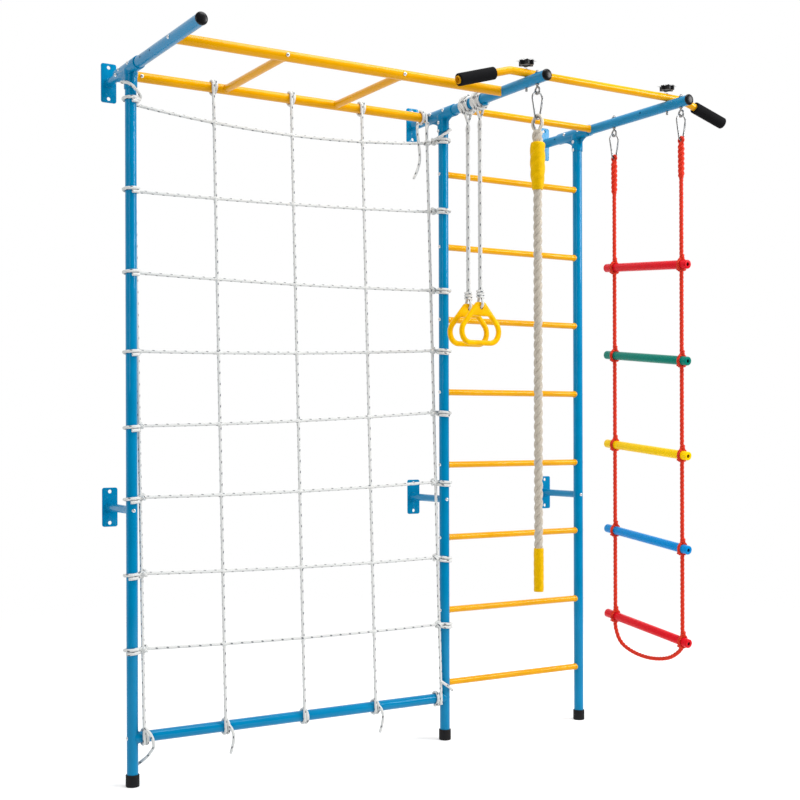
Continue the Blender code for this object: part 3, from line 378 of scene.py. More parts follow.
# %% Zinc plate
ZINC_CLOUD_SCALE = 220.0
ZINC_GRAIN_SCALE = 1400.0
ZINC_GRAIN_DEPTH = 0.0001
DULL_ZINC = (0.34, 0.345, 0.35)
BRIGHT_ZINC = (0.84, 0.85, 0.86)


def zinc(name, color, rough):
    look = new_look(name, rough, metallic=1.0)
    place = object_place(look)
    cloud = noise(look, place, ZINC_CLOUD_SCALE, 4.0, 0.6)
    tint(look, cloud, color, 0.82, 1.08)
    into_shader(look, "Roughness", spread(look, cloud, rough - 0.08, rough + 0.12))
    into_shader(look, "Normal", bump(look, noise(look, place, ZINC_GRAIN_SCALE), ZINC_GRAIN_DEPTH, 0.3))
    return look


zinc_plate = zinc("zinc_plate", DULL_ZINC, 0.30)
bright_zinc = zinc("bright_zinc_plate", BRIGHT_ZINC, 0.42)
print("metals", zinc_plate.name, bright_zinc.name)

# %% [markdown]
# ### Rungs of the rope ladder
# They are moulded plastic tube in four colours, polished by the mould and scuffed by shoes. A
# stretched noise along the rung gives scuffs that run round it.

# %% Ladder rung plastic
SCUFF_STRETCH = (60.0, 400.0, 60.0)
SCUFF_DEPTH = 0.0002
RUNG_COLORS = {"red": (0.70, 0.006, 0.016), "green": (0.0, 0.200, 0.150), "yellow": (0.95, 0.62, 0.0),
               "blue": (0.0, 0.250, 0.640)}


def rung_plastic(name, color):
    look = new_look(name, 0.30, Coat_Weight=0.08, Coat_Roughness=0.2, Specular_IOR_Level=0.35,
                    Specular_Tint=(*color, 1.0))
    place = object_place(look)
    stretched = put(look, "Mapping", {"Vector": place, "Scale": SCUFF_STRETCH}).outputs["Vector"]
    scuff = noise(look, stretched, 1.0, 4.0, 0.7)
    tint(look, scuff, color, 0.86, 1.06, 0.25, 0.75)
    into_shader(look, "Roughness", spread(look, scuff, 0.22, 0.42))
    into_shader(look, "Normal", bump(look, scuff, SCUFF_DEPTH, 0.35))
    return look


rung_looks = {name: rung_plastic(name + "_rung_plastic", color) for name, color in RUNG_COLORS.items()}
print("finishes so far", len(bpy.data.materials))

# %% [markdown]
# ### Ropes
# Two kinds of rope hang here. The climbing rope and the ladder's rope are laid: thick strands
# twisted round each other, each of fine yarns that run the other way. The net and the ring ropes
# are braided: thin white strands that cross over and under, with a dark tracer yarn that comes to
# the surface again and again. Both patterns are waves in U and V. The big form of the strands is in
# the mesh, and the yarns are bump. The same waves paint shade into the base colour, darker in the
# grooves between yarns and strands.

# %% Laid rope
YARN_TURNS = 26.0
YARNS_PER_METRE = 330.0
ROPE_CLOUD_SCALE = 90.0
HAIR_SCALE = 1500.0
HAIR_DEPTH = 0.0005


def rope_uv(look):
    """The rope's turns and its metres along, as two values."""
    source = put(look, "UVMap", {}, uv_map="rope").outputs["UV"]
    parts = put(look, "SeparateXYZ", {"Vector": source})
    return parts.outputs["X"], parts.outputs["Y"]


def weighted(look, first, first_share, second, second_share):
    """The sum of two values, each times its own share."""
    return math_node(look, "ADD", math_node(look, "MULTIPLY", first, first_share),
                     math_node(look, "MULTIPLY", second, second_share))


def stripes(look, around, along, turns, per_metre):
    """A sine across a family of slanting lines, from 0 to 1. The turns are whole, so it closes."""
    phase = weighted(look, around, turns * 2 * math.pi, along, per_metre * 2 * math.pi)
    wave = math_node(look, "SINE", phase)
    return put(look, "Math", {0: wave, 1: 0.5, 2: 0.5}, operation="MULTIPLY_ADD").outputs[0]


def laid_rope(name, color, dark, rough, turns=YARN_TURNS, per_metre=YARNS_PER_METRE, depth=0.0008):
    """Yarns that slant across the strands, with painted shade in their grooves, under short loose hairs."""
    look = new_look(name, rough, Sheen_Weight=0.08, Sheen_Roughness=0.4, Specular_IOR_Level=0.2)
    around, along = rope_uv(look)
    place = object_place(look)
    yarn = stripes(look, around, along, turns, per_metre)
    blend = weighted(look, yarn, 0.6, noise(look, place, ROPE_CLOUD_SCALE, 4.0, 0.6), 0.5)
    # Painted shade and highlight: the yarn wave darkens the grooves and lightens the crests in the base
    # colour, mixed with a random cloud of tone.
    groove_shade_and_tone = [(0.25, dark), (0.62, color), (0.9, shade(color, 1.08))]
    into_shader(look, "Base Color", ramp(look, blend, groove_shade_and_tone))
    fuzz = bump(look, noise(look, place, HAIR_SCALE, 3.0, 0.7), HAIR_DEPTH, 0.5)
    into_shader(look, "Normal", bump(look, yarn, depth, 0.8, fuzz))
    return look


# The second colour of each rope is the painted shade in its grooves.
hemp = laid_rope("pale_laid_rope", (0.68, 0.62, 0.53), (0.30, 0.26, 0.20), 0.85)
fine_hemp = laid_rope("pale_laid_rope_fine", (0.80, 0.76, 0.67), (0.55, 0.50, 0.41), 0.85, 9.0, 700.0, 0.0002)
red_lay = laid_rope("red_laid_rope", (0.86, 0.040, 0.008), (0.46, 0.010, 0.004), 0.55, 18.0, 260.0, 0.0006)

# %% Braided rope with a tracer yarn
BRAID_STRANDS = 8.0
BRAID_PER_METRE = 115.0
BRAID_DEPTH = 0.0006
BRAID_HAIR_SCALE = 1400.0
BRAID_HAIR_DEPTH = 0.0003
TRACER_PER_METRE = 28.0
FLECK_EDGE = (0.70, 0.84)
BRAID_WHITE = (0.70, 0.71, 0.70)
TRACER_DARK = (0.09, 0.10, 0.12)


def braided_rope(name, color, tracer):
    """Strands that cross both ways, with painted shade in their hollows, and flecks where a dark yarn comes
    to the top.
    """
    look = new_look(name, 0.70, Sheen_Weight=0.2, Sheen_Roughness=0.4, Specular_IOR_Level=0.35)
    around, along = rope_uv(look)
    left = stripes(look, around, along, BRAID_STRANDS, BRAID_PER_METRE)
    right = stripes(look, around, along, -BRAID_STRANDS, BRAID_PER_METRE)
    braid = math_node(look, "MAXIMUM", left, right)
    slow_left = stripes(look, around, along, 1.0, TRACER_PER_METRE)
    slow_right = stripes(look, around, along, -2.0, TRACER_PER_METRE)
    spot = math_node(look, "MULTIPLY", slow_left, slow_right)
    edge = {"Value": spot, "From Min": FLECK_EDGE[0], "From Max": FLECK_EDGE[1]}
    fleck = put(look, "MapRange", edge).outputs["Result"]
    # Painted shade: where the strands dip under each other the base colour is darkened, and it is lightened a
    # little on their crests.
    weave = ramp(look, braid, [(0.0, shade(color, 0.62)), (0.45, color), (1.0, shade(color, 1.05))])
    mixed = put(look, "Mix", {"Factor": fleck, 6: weave, 7: (*tracer, 1.0)}, data_type="RGBA")
    into_shader(look, "Base Color", mixed.outputs[2])
    fuzz = bump(look, noise(look, object_place(look), BRAID_HAIR_SCALE), BRAID_HAIR_DEPTH, 0.4)
    into_shader(look, "Normal", bump(look, braid, BRAID_DEPTH, 0.8, fuzz))
    return look


white_braid = braided_rope("white_braid_with_tracer", BRAID_WHITE, TRACER_DARK)
print("ropes", hemp.name, fine_hemp.name, red_lay.name, white_braid.name)

# %% [markdown]
# ### The yellow sleeves
# A woven tube is drawn over the rope's spliced ends and stuck down. It is thin, so the lay of the
# rope shows through it, and its weave is a fine even check, whose hollows are painted darker as shade.

# %% Woven sleeve
WARP_THREADS = 60.0
WEFT_PER_METRE = 620.0
WEAVE_DEPTH = 0.0004
SLEEVE_CLOUD_SCALE = 70.0


def woven_sleeve(name, color):
    look = new_look(name, 0.55, Specular_IOR_Level=0.25, Specular_Tint=(*color, 1.0))
    around, along = rope_uv(look)
    warp = stripes(look, around, along, WARP_THREADS, 0.0)
    weft = stripes(look, around, along, 0.0, WEFT_PER_METRE)
    check = math_node(look, "MULTIPLY", warp, weft)
    cloud = noise(look, object_place(look), SLEEVE_CLOUD_SCALE, 4.0, 0.65)
    check_shade_and_tone = weighted(look, check, 0.35, cloud, 0.65)
    # Painted shade: the check's hollows between threads are darkened in the base colour, mixed with a random
    # cloud of tone.
    into_shader(look, "Base Color", ramp(look, check_shade_and_tone, [(0.2, shade(color, 0.72)), (0.6, color)]))
    into_shader(look, "Normal", bump(look, check, WEAVE_DEPTH, 0.6))
    return look


sleeve_weave = woven_sleeve("yellow_woven_sleeve", (0.90, 0.53, 0.002))
print("finishes", len(bpy.data.materials))

# %% [markdown]
# ## The shared frame
# The driving sizes repeat the CAD's own, because the cords must lie where its solids lie. Places
# are given as x past the middle post, y behind the posts' plane and height over the floor, as a
# fitter would measure them on site.

# %% Sizes that the cords and small fittings share with the CAD
BEAM_HEIGHT = -FLOOR_Z
POST_TO_WALL = 0.21
TUBE_R = 0.0175
TUBE_WALL = 0.0015
LEFT, MIDDLE, RIGHT = -1.14, 0.0, 0.60
SIDES = {"left": LEFT, "middle": MIDDLE, "right": RIGHT}
X_WAY = Vector((1.0, 0.0, 0.0))
Y_WAY = Vector((0.0, 1.0, 0.0))
UP = Vector((0.0, 0.0, 1.0))


def place(x, y, height):
    return Vector((x, y - POST_TO_WALL, height - BEAM_HEIGHT))


def below_beam(x, y, drop):
    return Vector((x, y - POST_TO_WALL, -drop))


print("beam height", round(BEAM_HEIGHT, 4))

# %% [markdown]
# ## Dressing a piece
# Each finished piece gets its name, its finish, the body that it moves with, and the CAD nodes that
# it stands for. The body is looked up from the first node that it replaces, so it can't be
# mistyped.


def clear_selection():
    bpy.ops.object.select_all(action="DESELECT")


def select_only(piece):
    clear_selection()
    piece.select_set(True)
    bpy.context.view_layer.objects.active = piece


def new_piece(name, data):
    """A new object for a mesh or a curve, selected alone."""
    piece = bpy.data.objects.new(name, data)
    bpy.context.scene.collection.objects.link(piece)
    select_only(piece)
    return piece


def dress(piece, name, look, *nodes, body=None, slot=None, angle=40.0):
    """Shades, names and paints a piece, and lets it ride for the nodes that it stands for."""
    select_only(piece)
    bpy.ops.object.transform_apply(location=True, rotation=True, scale=True)
    bpy.ops.object.shade_smooth_by_angle(angle=math.radians(angle))
    piece.name = name
    piece.data.materials.clear()
    piece.data.materials.append(look)
    if nodes:
        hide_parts(*nodes)
    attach(piece, body or frame["nodes"][nodes[0]]["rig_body"])
    return piece


# %% Rod, tube and lathe helpers
ROUND_SIDES = 48
LATHE_MERGE = 0.00002


def rod(start, end, radius, sides=ROUND_SIDES, ends="NGON", tip_radius=None):
    """A cylinder or a cone primitive laid from one point to another, with its place in its mesh."""
    start, end = Vector(start), Vector(end)
    turn = (end - start).to_track_quat("Z", "Y").to_euler()
    size = {"vertices": sides, "depth": (end - start).length, "location": (start + end) / 2,
            "rotation": turn, "end_fill_type": ends}
    clear_selection()
    if tip_radius is None:
        bpy.ops.mesh.primitive_cylinder_add(radius=radius, **size)
    else:
        bpy.ops.mesh.primitive_cone_add(radius1=radius, radius2=tip_radius, **size)
    bpy.ops.object.transform_apply(location=True, rotation=True, scale=True)
    return bpy.context.object


def apply_modifier(piece, kind, **settings):
    select_only(piece)
    bpy.ops.object.modifier_add(type=kind)
    added = piece.modifiers[-1]
    for name, value in settings.items():
        setattr(added, name, value)
    bpy.ops.object.modifier_apply(modifier=added.name)
    return piece


def soften(piece, width, segments=2, angle=50.0):
    """Rounds the edges sharper than an angle, as a file or a mould would."""
    return apply_modifier(piece, "BEVEL", width=width, segments=segments, limit_method="ANGLE",
                          angle_limit=math.radians(angle))


def hollow(piece, wall):
    return apply_modifier(piece, "SOLIDIFY", thickness=wall, offset=-1.0)


def boolean(piece, operation, *tools):
    """Cuts or joins with each tool in turn and deletes the tools."""
    for tool in tools:
        apply_modifier(piece, "BOOLEAN", operation=operation, object=tool, solver="EXACT")
        bpy.data.objects.remove(tool, do_unlink=True)
    return piece


def drill(piece, start, end, radius, sides=32):
    """Drills a round hole from one point to another."""
    return boolean(piece, "DIFFERENCE", rod(start, end, radius, sides))


def joined(pieces):
    """Joins separate meshes into one object, as Ctrl J does."""
    clear_selection()
    for piece in pieces:
        piece.select_set(True)
    bpy.context.view_layer.objects.active = pieces[0]
    bpy.ops.object.join()
    return pieces[0]


def close_up(merge=None):
    """In edit mode, merges doubled points within a distance and turns all faces outwards."""
    bpy.ops.mesh.select_all(action="SELECT")
    if merge:
        bpy.ops.mesh.remove_doubles(threshold=merge)
    bpy.ops.mesh.normals_make_consistent(inside=False)
    bpy.ops.object.mode_set(mode="OBJECT")


def lathe(outline, start, end, steps=ROUND_SIDES, ring=False):
    """Spins an outline of (radius, height) pairs round the line from start towards end."""
    mesh = bpy.data.meshes.new("lathe")
    edges = [(i, i + 1) for i in range(len(outline) - 1)]
    if ring:
        edges.append((len(outline) - 1, 0))
    mesh.from_pydata([(radius, 0.0, height) for radius, height in outline], edges, [])
    piece = new_piece("lathe", mesh)
    bpy.ops.object.mode_set(mode="EDIT")
    bpy.ops.mesh.select_all(action="SELECT")
    bpy.ops.mesh.spin(steps=steps, angle=2 * math.pi, center=(0, 0, 0), axis=(0, 0, 1))
    close_up(LATHE_MERGE)
    way = Vector(end) - Vector(start)
    piece.matrix_world = Matrix.Translation(start) @ way.to_track_quat("Z", "Y").to_matrix().to_4x4()
    bpy.ops.object.transform_apply(location=True, rotation=True, scale=True)
    return piece


def arc(x, y, radius, start, end, count):
    """Pairs of numbers on an arc, from one angle in degrees to another."""
    turns = [math.radians(start + (end - start) * i / (count - 1)) for i in range(count)]
    return [(x + radius * math.cos(a), y + radius * math.sin(a)) for a in turns]


print("helpers ready")

# %% [markdown]
# ## How a rope is drawn
# A rope is a tube whose cross-section is the outline of its strands, turned a little at every step
# along the way. Three or four round strands laid together leave deep grooves between them, which a
# plain tube with a bump map can't show at its edges. The section is carried along the path with as
# little twist as can be, and the lay is added on top. Its UV map holds turns and metres.

# %% Rope helpers
SMOOTH_STEPS = 12
CAP_SHARE = 0.6


def smooth_path(points, spacing):
    """Points a given spacing apart on a Catmull-Rom curve through the route's own points."""
    route = [Vector(p) for p in points]
    ends = [route[0] * 2 - route[1]] + route + [route[-1] * 2 - route[-2]]
    fine = [route[0]]
    for i in range(1, len(ends) - 2):
        a, b, c, d = ends[i - 1:i + 3]
        for k in range(1, SMOOTH_STEPS + 1):
            t = k / SMOOTH_STEPS
            fine.append(0.5 * (2 * b + (c - a) * t + (2 * a - 5 * b + 4 * c - d) * t * t
                               + (3 * b - a - 3 * c + d) * t ** 3))
    total = sum((q - p).length for p, q in zip(fine, fine[1:]))
    count = max(2, round(total / spacing))
    spaced, walked, wanted = [fine[0]], 0.0, total / count
    for p, q in zip(fine, fine[1:]):
        step = (q - p).length
        while walked + step >= wanted - 1e-9 and len(spaced) < count:
            spaced.append(p.lerp(q, (wanted - walked) / step))
            wanted += total / count
        walked += step
    return spaced + [fine[-1]]


def strand_outline(strands, sides, groove):
    """Radius, as a share of the rope's, all round strands whose centres sit at `groove` of it."""
    shares = []
    for i in range(sides):
        turn = 2 * math.pi * i / sides
        step = 2 * math.pi / strands
        off = (turn + step / 2) % step - step / 2
        shares.append(groove * math.cos(off)
                      + math.sqrt(max(0.0, (1 - groove) ** 2 - (groove * math.sin(off)) ** 2)))
    return shares


def rope_tube(path, radius_at, strands, groove, lay, sides, cap_round=0.5):
    """A twisted tube along a path. radius_at(metres) gives its radius there, lay the metres a turn."""
    shares = strand_outline(strands, sides, groove) if strands else [1.0] * sides
    mesh = bpy.data.meshes.new("rope")
    bm = bmesh.new()
    uv_of = {}
    rings, walked = [], 0.0
    tangent = (path[1] - path[0]).normalized()
    normal = tangent.orthogonal().normalized()
    length = sum((b - a).length for a, b in zip(path, path[1:]))
    for i, point in enumerate(path):
        if i:
            walked += (point - path[i - 1]).length
        ahead = path[min(i + 1, len(path) - 1)] - path[max(i - 1, 0)]
        turned = ahead.normalized()
        normal = (tangent.rotation_difference(turned) @ normal).normalized()
        tangent = turned
        side = tangent.cross(normal)
        radius = radius_at(walked, length)
        ring = []
        for k, share in enumerate(shares):
            angle = 2 * math.pi * k / sides + (2 * math.pi * walked / lay if strands else 0.0)
            vert = bm.verts.new(point + (normal * math.cos(angle) + side * math.sin(angle)) * radius * share)
            uv_of[vert] = (k / sides, walked)
            ring.append(vert)
        rings.append(ring)
    layer = bm.loops.layers.uv.new("rope")
    for lower, upper in zip(rings, rings[1:]):
        for k in range(sides):
            after = (k + 1) % sides
            face = bm.faces.new((lower[k], lower[after], upper[after], upper[k]))
            for loop in face.loops:
                u, v = uv_of[loop.vert]
                loop[layer].uv = (1.0 if after == 0 and u == 0.0 else u, v)
    for ring, center, way in ((rings[0][::-1], path[0], -1), (rings[-1], path[-1], 1)):
        push = (path[1] - path[0] if way < 0 else path[-1] - path[-2]).normalized() * way
        size = (ring[0].co - center).length
        middle = bm.verts.new(center + push * size * cap_round * CAP_SHARE)
        uv_of[middle] = (0.5, uv_of[ring[0]][1])
        for k in range(sides):
            face = bm.faces.new((ring[k], ring[(k + 1) % sides], middle))
            for loop in face.loops:
                loop[layer].uv = uv_of[loop.vert]
    bmesh.ops.recalc_face_normals(bm, faces=bm.faces)
    bm.to_mesh(mesh)
    bm.free()
    return new_piece("rope", mesh)


def laid(path, radius_at, groove, lay, sides, cap_round=0.5):
    """A rope of three strands."""
    return rope_tube(path, radius_at, 3, groove, lay, sides, cap_round)


def braided(path, radius_at, sides=14):
    """A rope with a plain round section, whose braid is left to its finish."""
    return rope_tube(path, radius_at, 0, 0.0, 1.0, sides)


def even(radius):
    return lambda walked, length: radius


def tapered(pairs):
    """A radius that runs straight between (share of the length, radius) pairs."""
    def radius_at(walked, length):
        share = walked / length
        for (a, low), (b, high) in zip(pairs, pairs[1:]):
            if share <= b:
                return low + (high - low) * (share - a) / (b - a)
        return pairs[-1][1]
    return radius_at


def path_length(path):
    return sum((b - a).length for a, b in zip(path, path[1:]))


def hanging_line(top, length, steps):
    """Points evenly spaced straight down from a top."""
    return [top - UP * length * i / steps for i in range(steps + 1)]


def helix(center, axis, away, radius, pitch, start, end, steps_a_turn=28):
    """A helix round an axis from turn start to turn end, with turn 0 at `away`."""
    axis, away = Vector(axis), Vector(away)
    across = axis.cross(away)
    steps = max(2, round(abs(end - start) * steps_a_turn))
    points = []
    for i in range(steps + 1):
        turn = start + (end - start) * i / steps
        spoke = away * math.cos(2 * math.pi * turn) + across * math.sin(2 * math.pi * turn)
        points.append(Vector(center) + axis * pitch * turn + spoke * radius)
    return points


def tangent_spoke(axis, center, target, radius, leaving):
    """Unit vector to where a taut rope to the target leaves, or meets, a winding round the axis."""
    axis, toward = Vector(axis), Vector(target) - Vector(center)
    toward -= axis * toward.dot(axis)
    angle = math.acos(radius / toward.length) * (-1 if leaving else 1)
    return Matrix.Rotation(angle, 3, axis) @ toward.normalized()


print("rope helpers ready")

# %% [markdown]
# ## The climbing rope
# A 28 mm rope of three strands, spliced round a steel thimble at the top. Its splice is hidden by a
# woven yellow sleeve, and a second sleeve keeps the cut end from fraying. It hangs straight down,
# 1.459 m from its thimble to its end, all of it seen in the picture. The strands make about one
# turn in 86 mm, three diameters, which is a common hard lay.

# %% Climbing rope
WIRE_R = 0.003
LINK_GAP = 0.0008
EYE_DROP = 0.050
HOOK_LENGTH = 0.086
HOOK_TOP_R = 0.0195
HOOK_BOTTOM_R = 0.0095
ROPE_EYE_REACH = 0.548
ROPE_R = 0.01425
ROPE_LENGTH = 1.459
ROPE_LAY = 0.086
ROPE_GROOVE = 0.44
ROPE_TIP_R = 0.012
ROPE_NECK_R = 0.0175
ROPE_NECK_LENGTH = 0.031
THIMBLE_R = 0.0195
THIMBLE_WIRE_R = 0.0032
THIMBLE_DEPTH = 0.052
THIMBLE_IN_ROPE = 0.0102
ROPE_STEP = 0.0032


def eye_place(x, reach):
    """Where the wire of an eye bolt is lowest, and where the hook in it holds its load."""
    eye = below_beam(x, -reach, EYE_DROP)
    load = eye + UP * (2 * WIRE_R + LINK_GAP - HOOK_LENGTH)
    return eye, load


rope_eye, rope_load = eye_place(MIDDLE, ROPE_EYE_REACH)
thimble_top = rope_load + UP * (WIRE_R + LINK_GAP + THIMBLE_WIRE_R)
rope_head = thimble_top - UP * (THIMBLE_DEPTH - THIMBLE_IN_ROPE)
rope_path = smooth_path(hanging_line(rope_head, ROPE_LENGTH, 14), ROPE_STEP)
neck_share = ROPE_NECK_LENGTH / ROPE_LENGTH
rope_radius = tapered([(0.0, ROPE_TIP_R), (neck_share * 0.25, ROPE_NECK_R), (neck_share, ROPE_NECK_R),
                       (neck_share * 1.6, ROPE_R), (0.999, ROPE_R), (1.0, ROPE_R * 0.9)])
climbing_rope = laid(rope_path, rope_radius, ROPE_GROOVE, ROPE_LAY, 42, 0.1)
dress(climbing_rope, "climbing_rope_laid", hemp, "climbing_rope", angle=70.0)
print("climbing rope", round(path_length(rope_path), 4), "m,", len(climbing_rope.data.polygons), "faces")

# %% Its two sleeves
SLEEVE_SETBACK = 0.008
SLEEVE_LENGTH = 0.150
SLEEVE_GROOVE = 0.16
SLEEVE_LAY = ROPE_LAY * 1.35
SLEEVE_STEP = 0.002
TAIL_LENGTH = 0.137
TAIL_GROOVE = 0.10

sleeve_top = rope_head - UP * (ROPE_NECK_LENGTH + SLEEVE_SETBACK)
sleeve_path = smooth_path(hanging_line(sleeve_top, SLEEVE_LENGTH, 4), SLEEVE_STEP)
sleeve_radius = tapered([(0.0, 0.0205), (0.015, 0.0228), (0.05, 0.0242), (0.45, 0.0243), (0.72, 0.0228),
                         (0.92, 0.0190), (0.985, 0.0178), (1.0, 0.0162)])
sleeve = laid(sleeve_path, sleeve_radius, SLEEVE_GROOVE, SLEEVE_LAY, 48, 0.05)
dress(sleeve, "rope_upper_sleeve", sleeve_weave, "rope_sleeve", angle=70.0)
tail_start = rope_head - UP * (ROPE_LENGTH - TAIL_LENGTH)
tail_path = smooth_path(hanging_line(tail_start, TAIL_LENGTH, 4), SLEEVE_STEP)
tail_radius = tapered([(0.0, 0.0150), (0.02, 0.0160), (0.5, 0.0162), (0.97, 0.0158), (1.0, 0.0150)])
tail = laid(tail_path, tail_radius, TAIL_GROOVE, ROPE_LAY, 48, 0.08)
dress(tail, "rope_lower_sleeve", sleeve_weave, body="hanging_rope", slot="yellow_sleeve", angle=70.0)
print("sleeves", round(path_length(sleeve_path), 3), round(path_length(tail_path), 3), "m")

# %% [markdown]
# ## Bent wire: thimble, eye bolts and snap hooks
# These are all steel rod bent round pins: arcs joined by straight legs. Drawing the line of the
# bend and giving it a round section is just how they are made. The gate of a snap hook is its own
# piece, because it turns on a rivet. The thimble's rod is bent to a teardrop round which the rope
# is spliced.

# %% Bent wire helper
WIRE_MERGE = 0.00001


def bent_wire(points, radius, closed=False, resolution=5, caps=True):
    """A curve through the points with a round section, made a mesh, its caps merged."""
    data = bpy.data.curves.new("wire", "CURVE")
    data.dimensions = "3D"
    data.bevel_depth = radius
    data.bevel_resolution = resolution
    data.use_fill_caps = caps and not closed
    spline = data.splines.new("POLY")
    spline.points.add(len(points) - 1)
    for control, point in zip(spline.points, points):
        control.co = (*point, 1.0)
    spline.use_cyclic_u = closed
    new_piece("wire", data)
    bpy.ops.object.convert(target="MESH")
    piece = bpy.context.object
    bpy.ops.object.mode_set(mode="EDIT")
    close_up(WIRE_MERGE)
    return piece


def arc_points(center, across, up, radius, start, end, count):
    """Points of an arc in the plane of two unit vectors, from one angle in degrees to another."""
    turns = [math.radians(start + (end - start) * i / (count - 1)) for i in range(count)]
    return [center + (across * math.cos(a) + up * math.sin(a)) * radius for a in turns]


print("wire helpers ready")

# %% Thimble, and the strand of the rope's eye that lies in it
THIMBLE_OPEN = 20.0
EYE_STRAND_R = 0.0048
EYE_STRAND_OUT = 0.0060
EYE_STRAND_LAY = 0.034

thimble_middle = thimble_top - UP * THIMBLE_R
teardrop = arc_points(thimble_middle, Y_WAY, UP, THIMBLE_R, -THIMBLE_OPEN, 180 + THIMBLE_OPEN, 33)
arc_end = teardrop[-1]
tip = thimble_top - UP * THIMBLE_DEPTH
teardrop += [arc_end.lerp(tip, 0.35), arc_end.lerp(tip, 0.7), tip]
teardrop += [tip.lerp(teardrop[0], 0.3), tip.lerp(teardrop[0], 0.65)]
thimble = bent_wire(teardrop, THIMBLE_WIRE_R, closed=True)
dress(thimble, "thimble_teardrop", zinc_plate, "rope_thimble", angle=60.0)
eye_foot = (Y_WAY * 0.007, UP * 0.006)
eye_route = [rope_head - eye_foot[0] - eye_foot[1]]
eye_route += arc_points(thimble_middle, Y_WAY, UP, THIMBLE_R + EYE_STRAND_OUT, 180 + THIMBLE_OPEN,
                        -THIMBLE_OPEN, 21)
eye_route.append(rope_head + eye_foot[0] - eye_foot[1])
rope_eye_loop = laid(smooth_path(eye_route, 0.002), even(EYE_STRAND_R), 0.40, EYE_STRAND_LAY, 24)
dress(rope_eye_loop, "rope_eye_laid", fine_hemp, body="hanging_rope", slot="pale_rope", angle=70.0)

# %% Eye bolts with their nuts and washers
EYE_R = 0.011
SHANK_R = 0.004
SHANK_PROUD = 0.008
NUT_R = 0.0068
NUT_HEIGHT = 0.0042
WASHER_R = 0.0085
WASHER_HEIGHT = 0.0014
NUT_BITE = 0.0004
WASHER_BITE = 0.0006
EYE_SIDES = 48


def hex_nut(start, way, radius=NUT_R, height=NUT_HEIGHT):
    """A hexagonal nut on a face, along a direction, its corners turned off."""
    way = Vector(way).normalized()
    nut = rod(start, Vector(start) + way * height, radius, sides=6)
    dome = rod(Vector(start) - way * height * 0.4, Vector(start) + way * height * 1.25, radius * 1.18,
               sides=32, tip_radius=radius * 0.62)
    return soften(boolean(nut, "INTERSECT", dome), 0.0003, 1, 40.0)


def washer(start, way, radius=WASHER_R, height=WASHER_HEIGHT):
    way = Vector(way).normalized()
    return soften(rod(start, Vector(start) + way * height, radius, sides=32), height * 0.3, 2)


def eye_bolt(name, node, x, reach):
    """A ring of wire under the beam, a nut against it, and a washer and nut on the beam's top."""
    low = BEAM_HEIGHT - EYE_DROP
    middle = place(x, -reach, low + EYE_R)
    ring = bent_wire(arc_points(middle, Y_WAY, UP, EYE_R, 0, 360 - 360 / EYE_SIDES, EYE_SIDES), WIRE_R, True)
    ring_top = low + 2 * EYE_R
    shank_low = place(x, -reach, ring_top - WIRE_R * 0.5)
    shank_top = place(x, -reach, BEAM_HEIGHT + TUBE_R + SHANK_PROUD)
    shank = soften(rod(shank_low, shank_top, SHANK_R, 32), 0.0006)
    under = place(x, -reach, BEAM_HEIGHT - TUBE_R - NUT_BITE)
    over = place(x, -reach, BEAM_HEIGHT + TUBE_R - WASHER_BITE)
    pieces = [ring, shank, hex_nut(under, -UP), washer(over, UP), hex_nut(over + UP * WASHER_HEIGHT, UP)]
    dress(joined(pieces), name, zinc_plate, node, angle=35.0)


LADDER_EYE_REACH_BACK = 0.212
LADDER_EYE_REACH_FRONT = 0.559
eye_bolt("eye_bolt_for_rope", "rope_eye_bolt", MIDDLE, ROPE_EYE_REACH)
eye_bolt("eye_bolt_for_ladder_back", "ladder_eye_bolt_1", RIGHT, LADDER_EYE_REACH_BACK)
eye_bolt("eye_bolt_for_ladder_front", "ladder_eye_bolt_2", RIGHT, LADDER_EYE_REACH_FRONT)

# %% Snap hooks and their gates
GATE_END = 0.12
GATE_CLEARANCE = 0.0005
GATE_SLEEVE_R = WIRE_R + 0.0006
RIVET_R = 0.0015
RIVET_REACH = 0.0048
LATCH_PIN_R = 0.0011
LATCH_PIN_REACH = 0.0042
LATCH_PIN_BACK = 0.0035


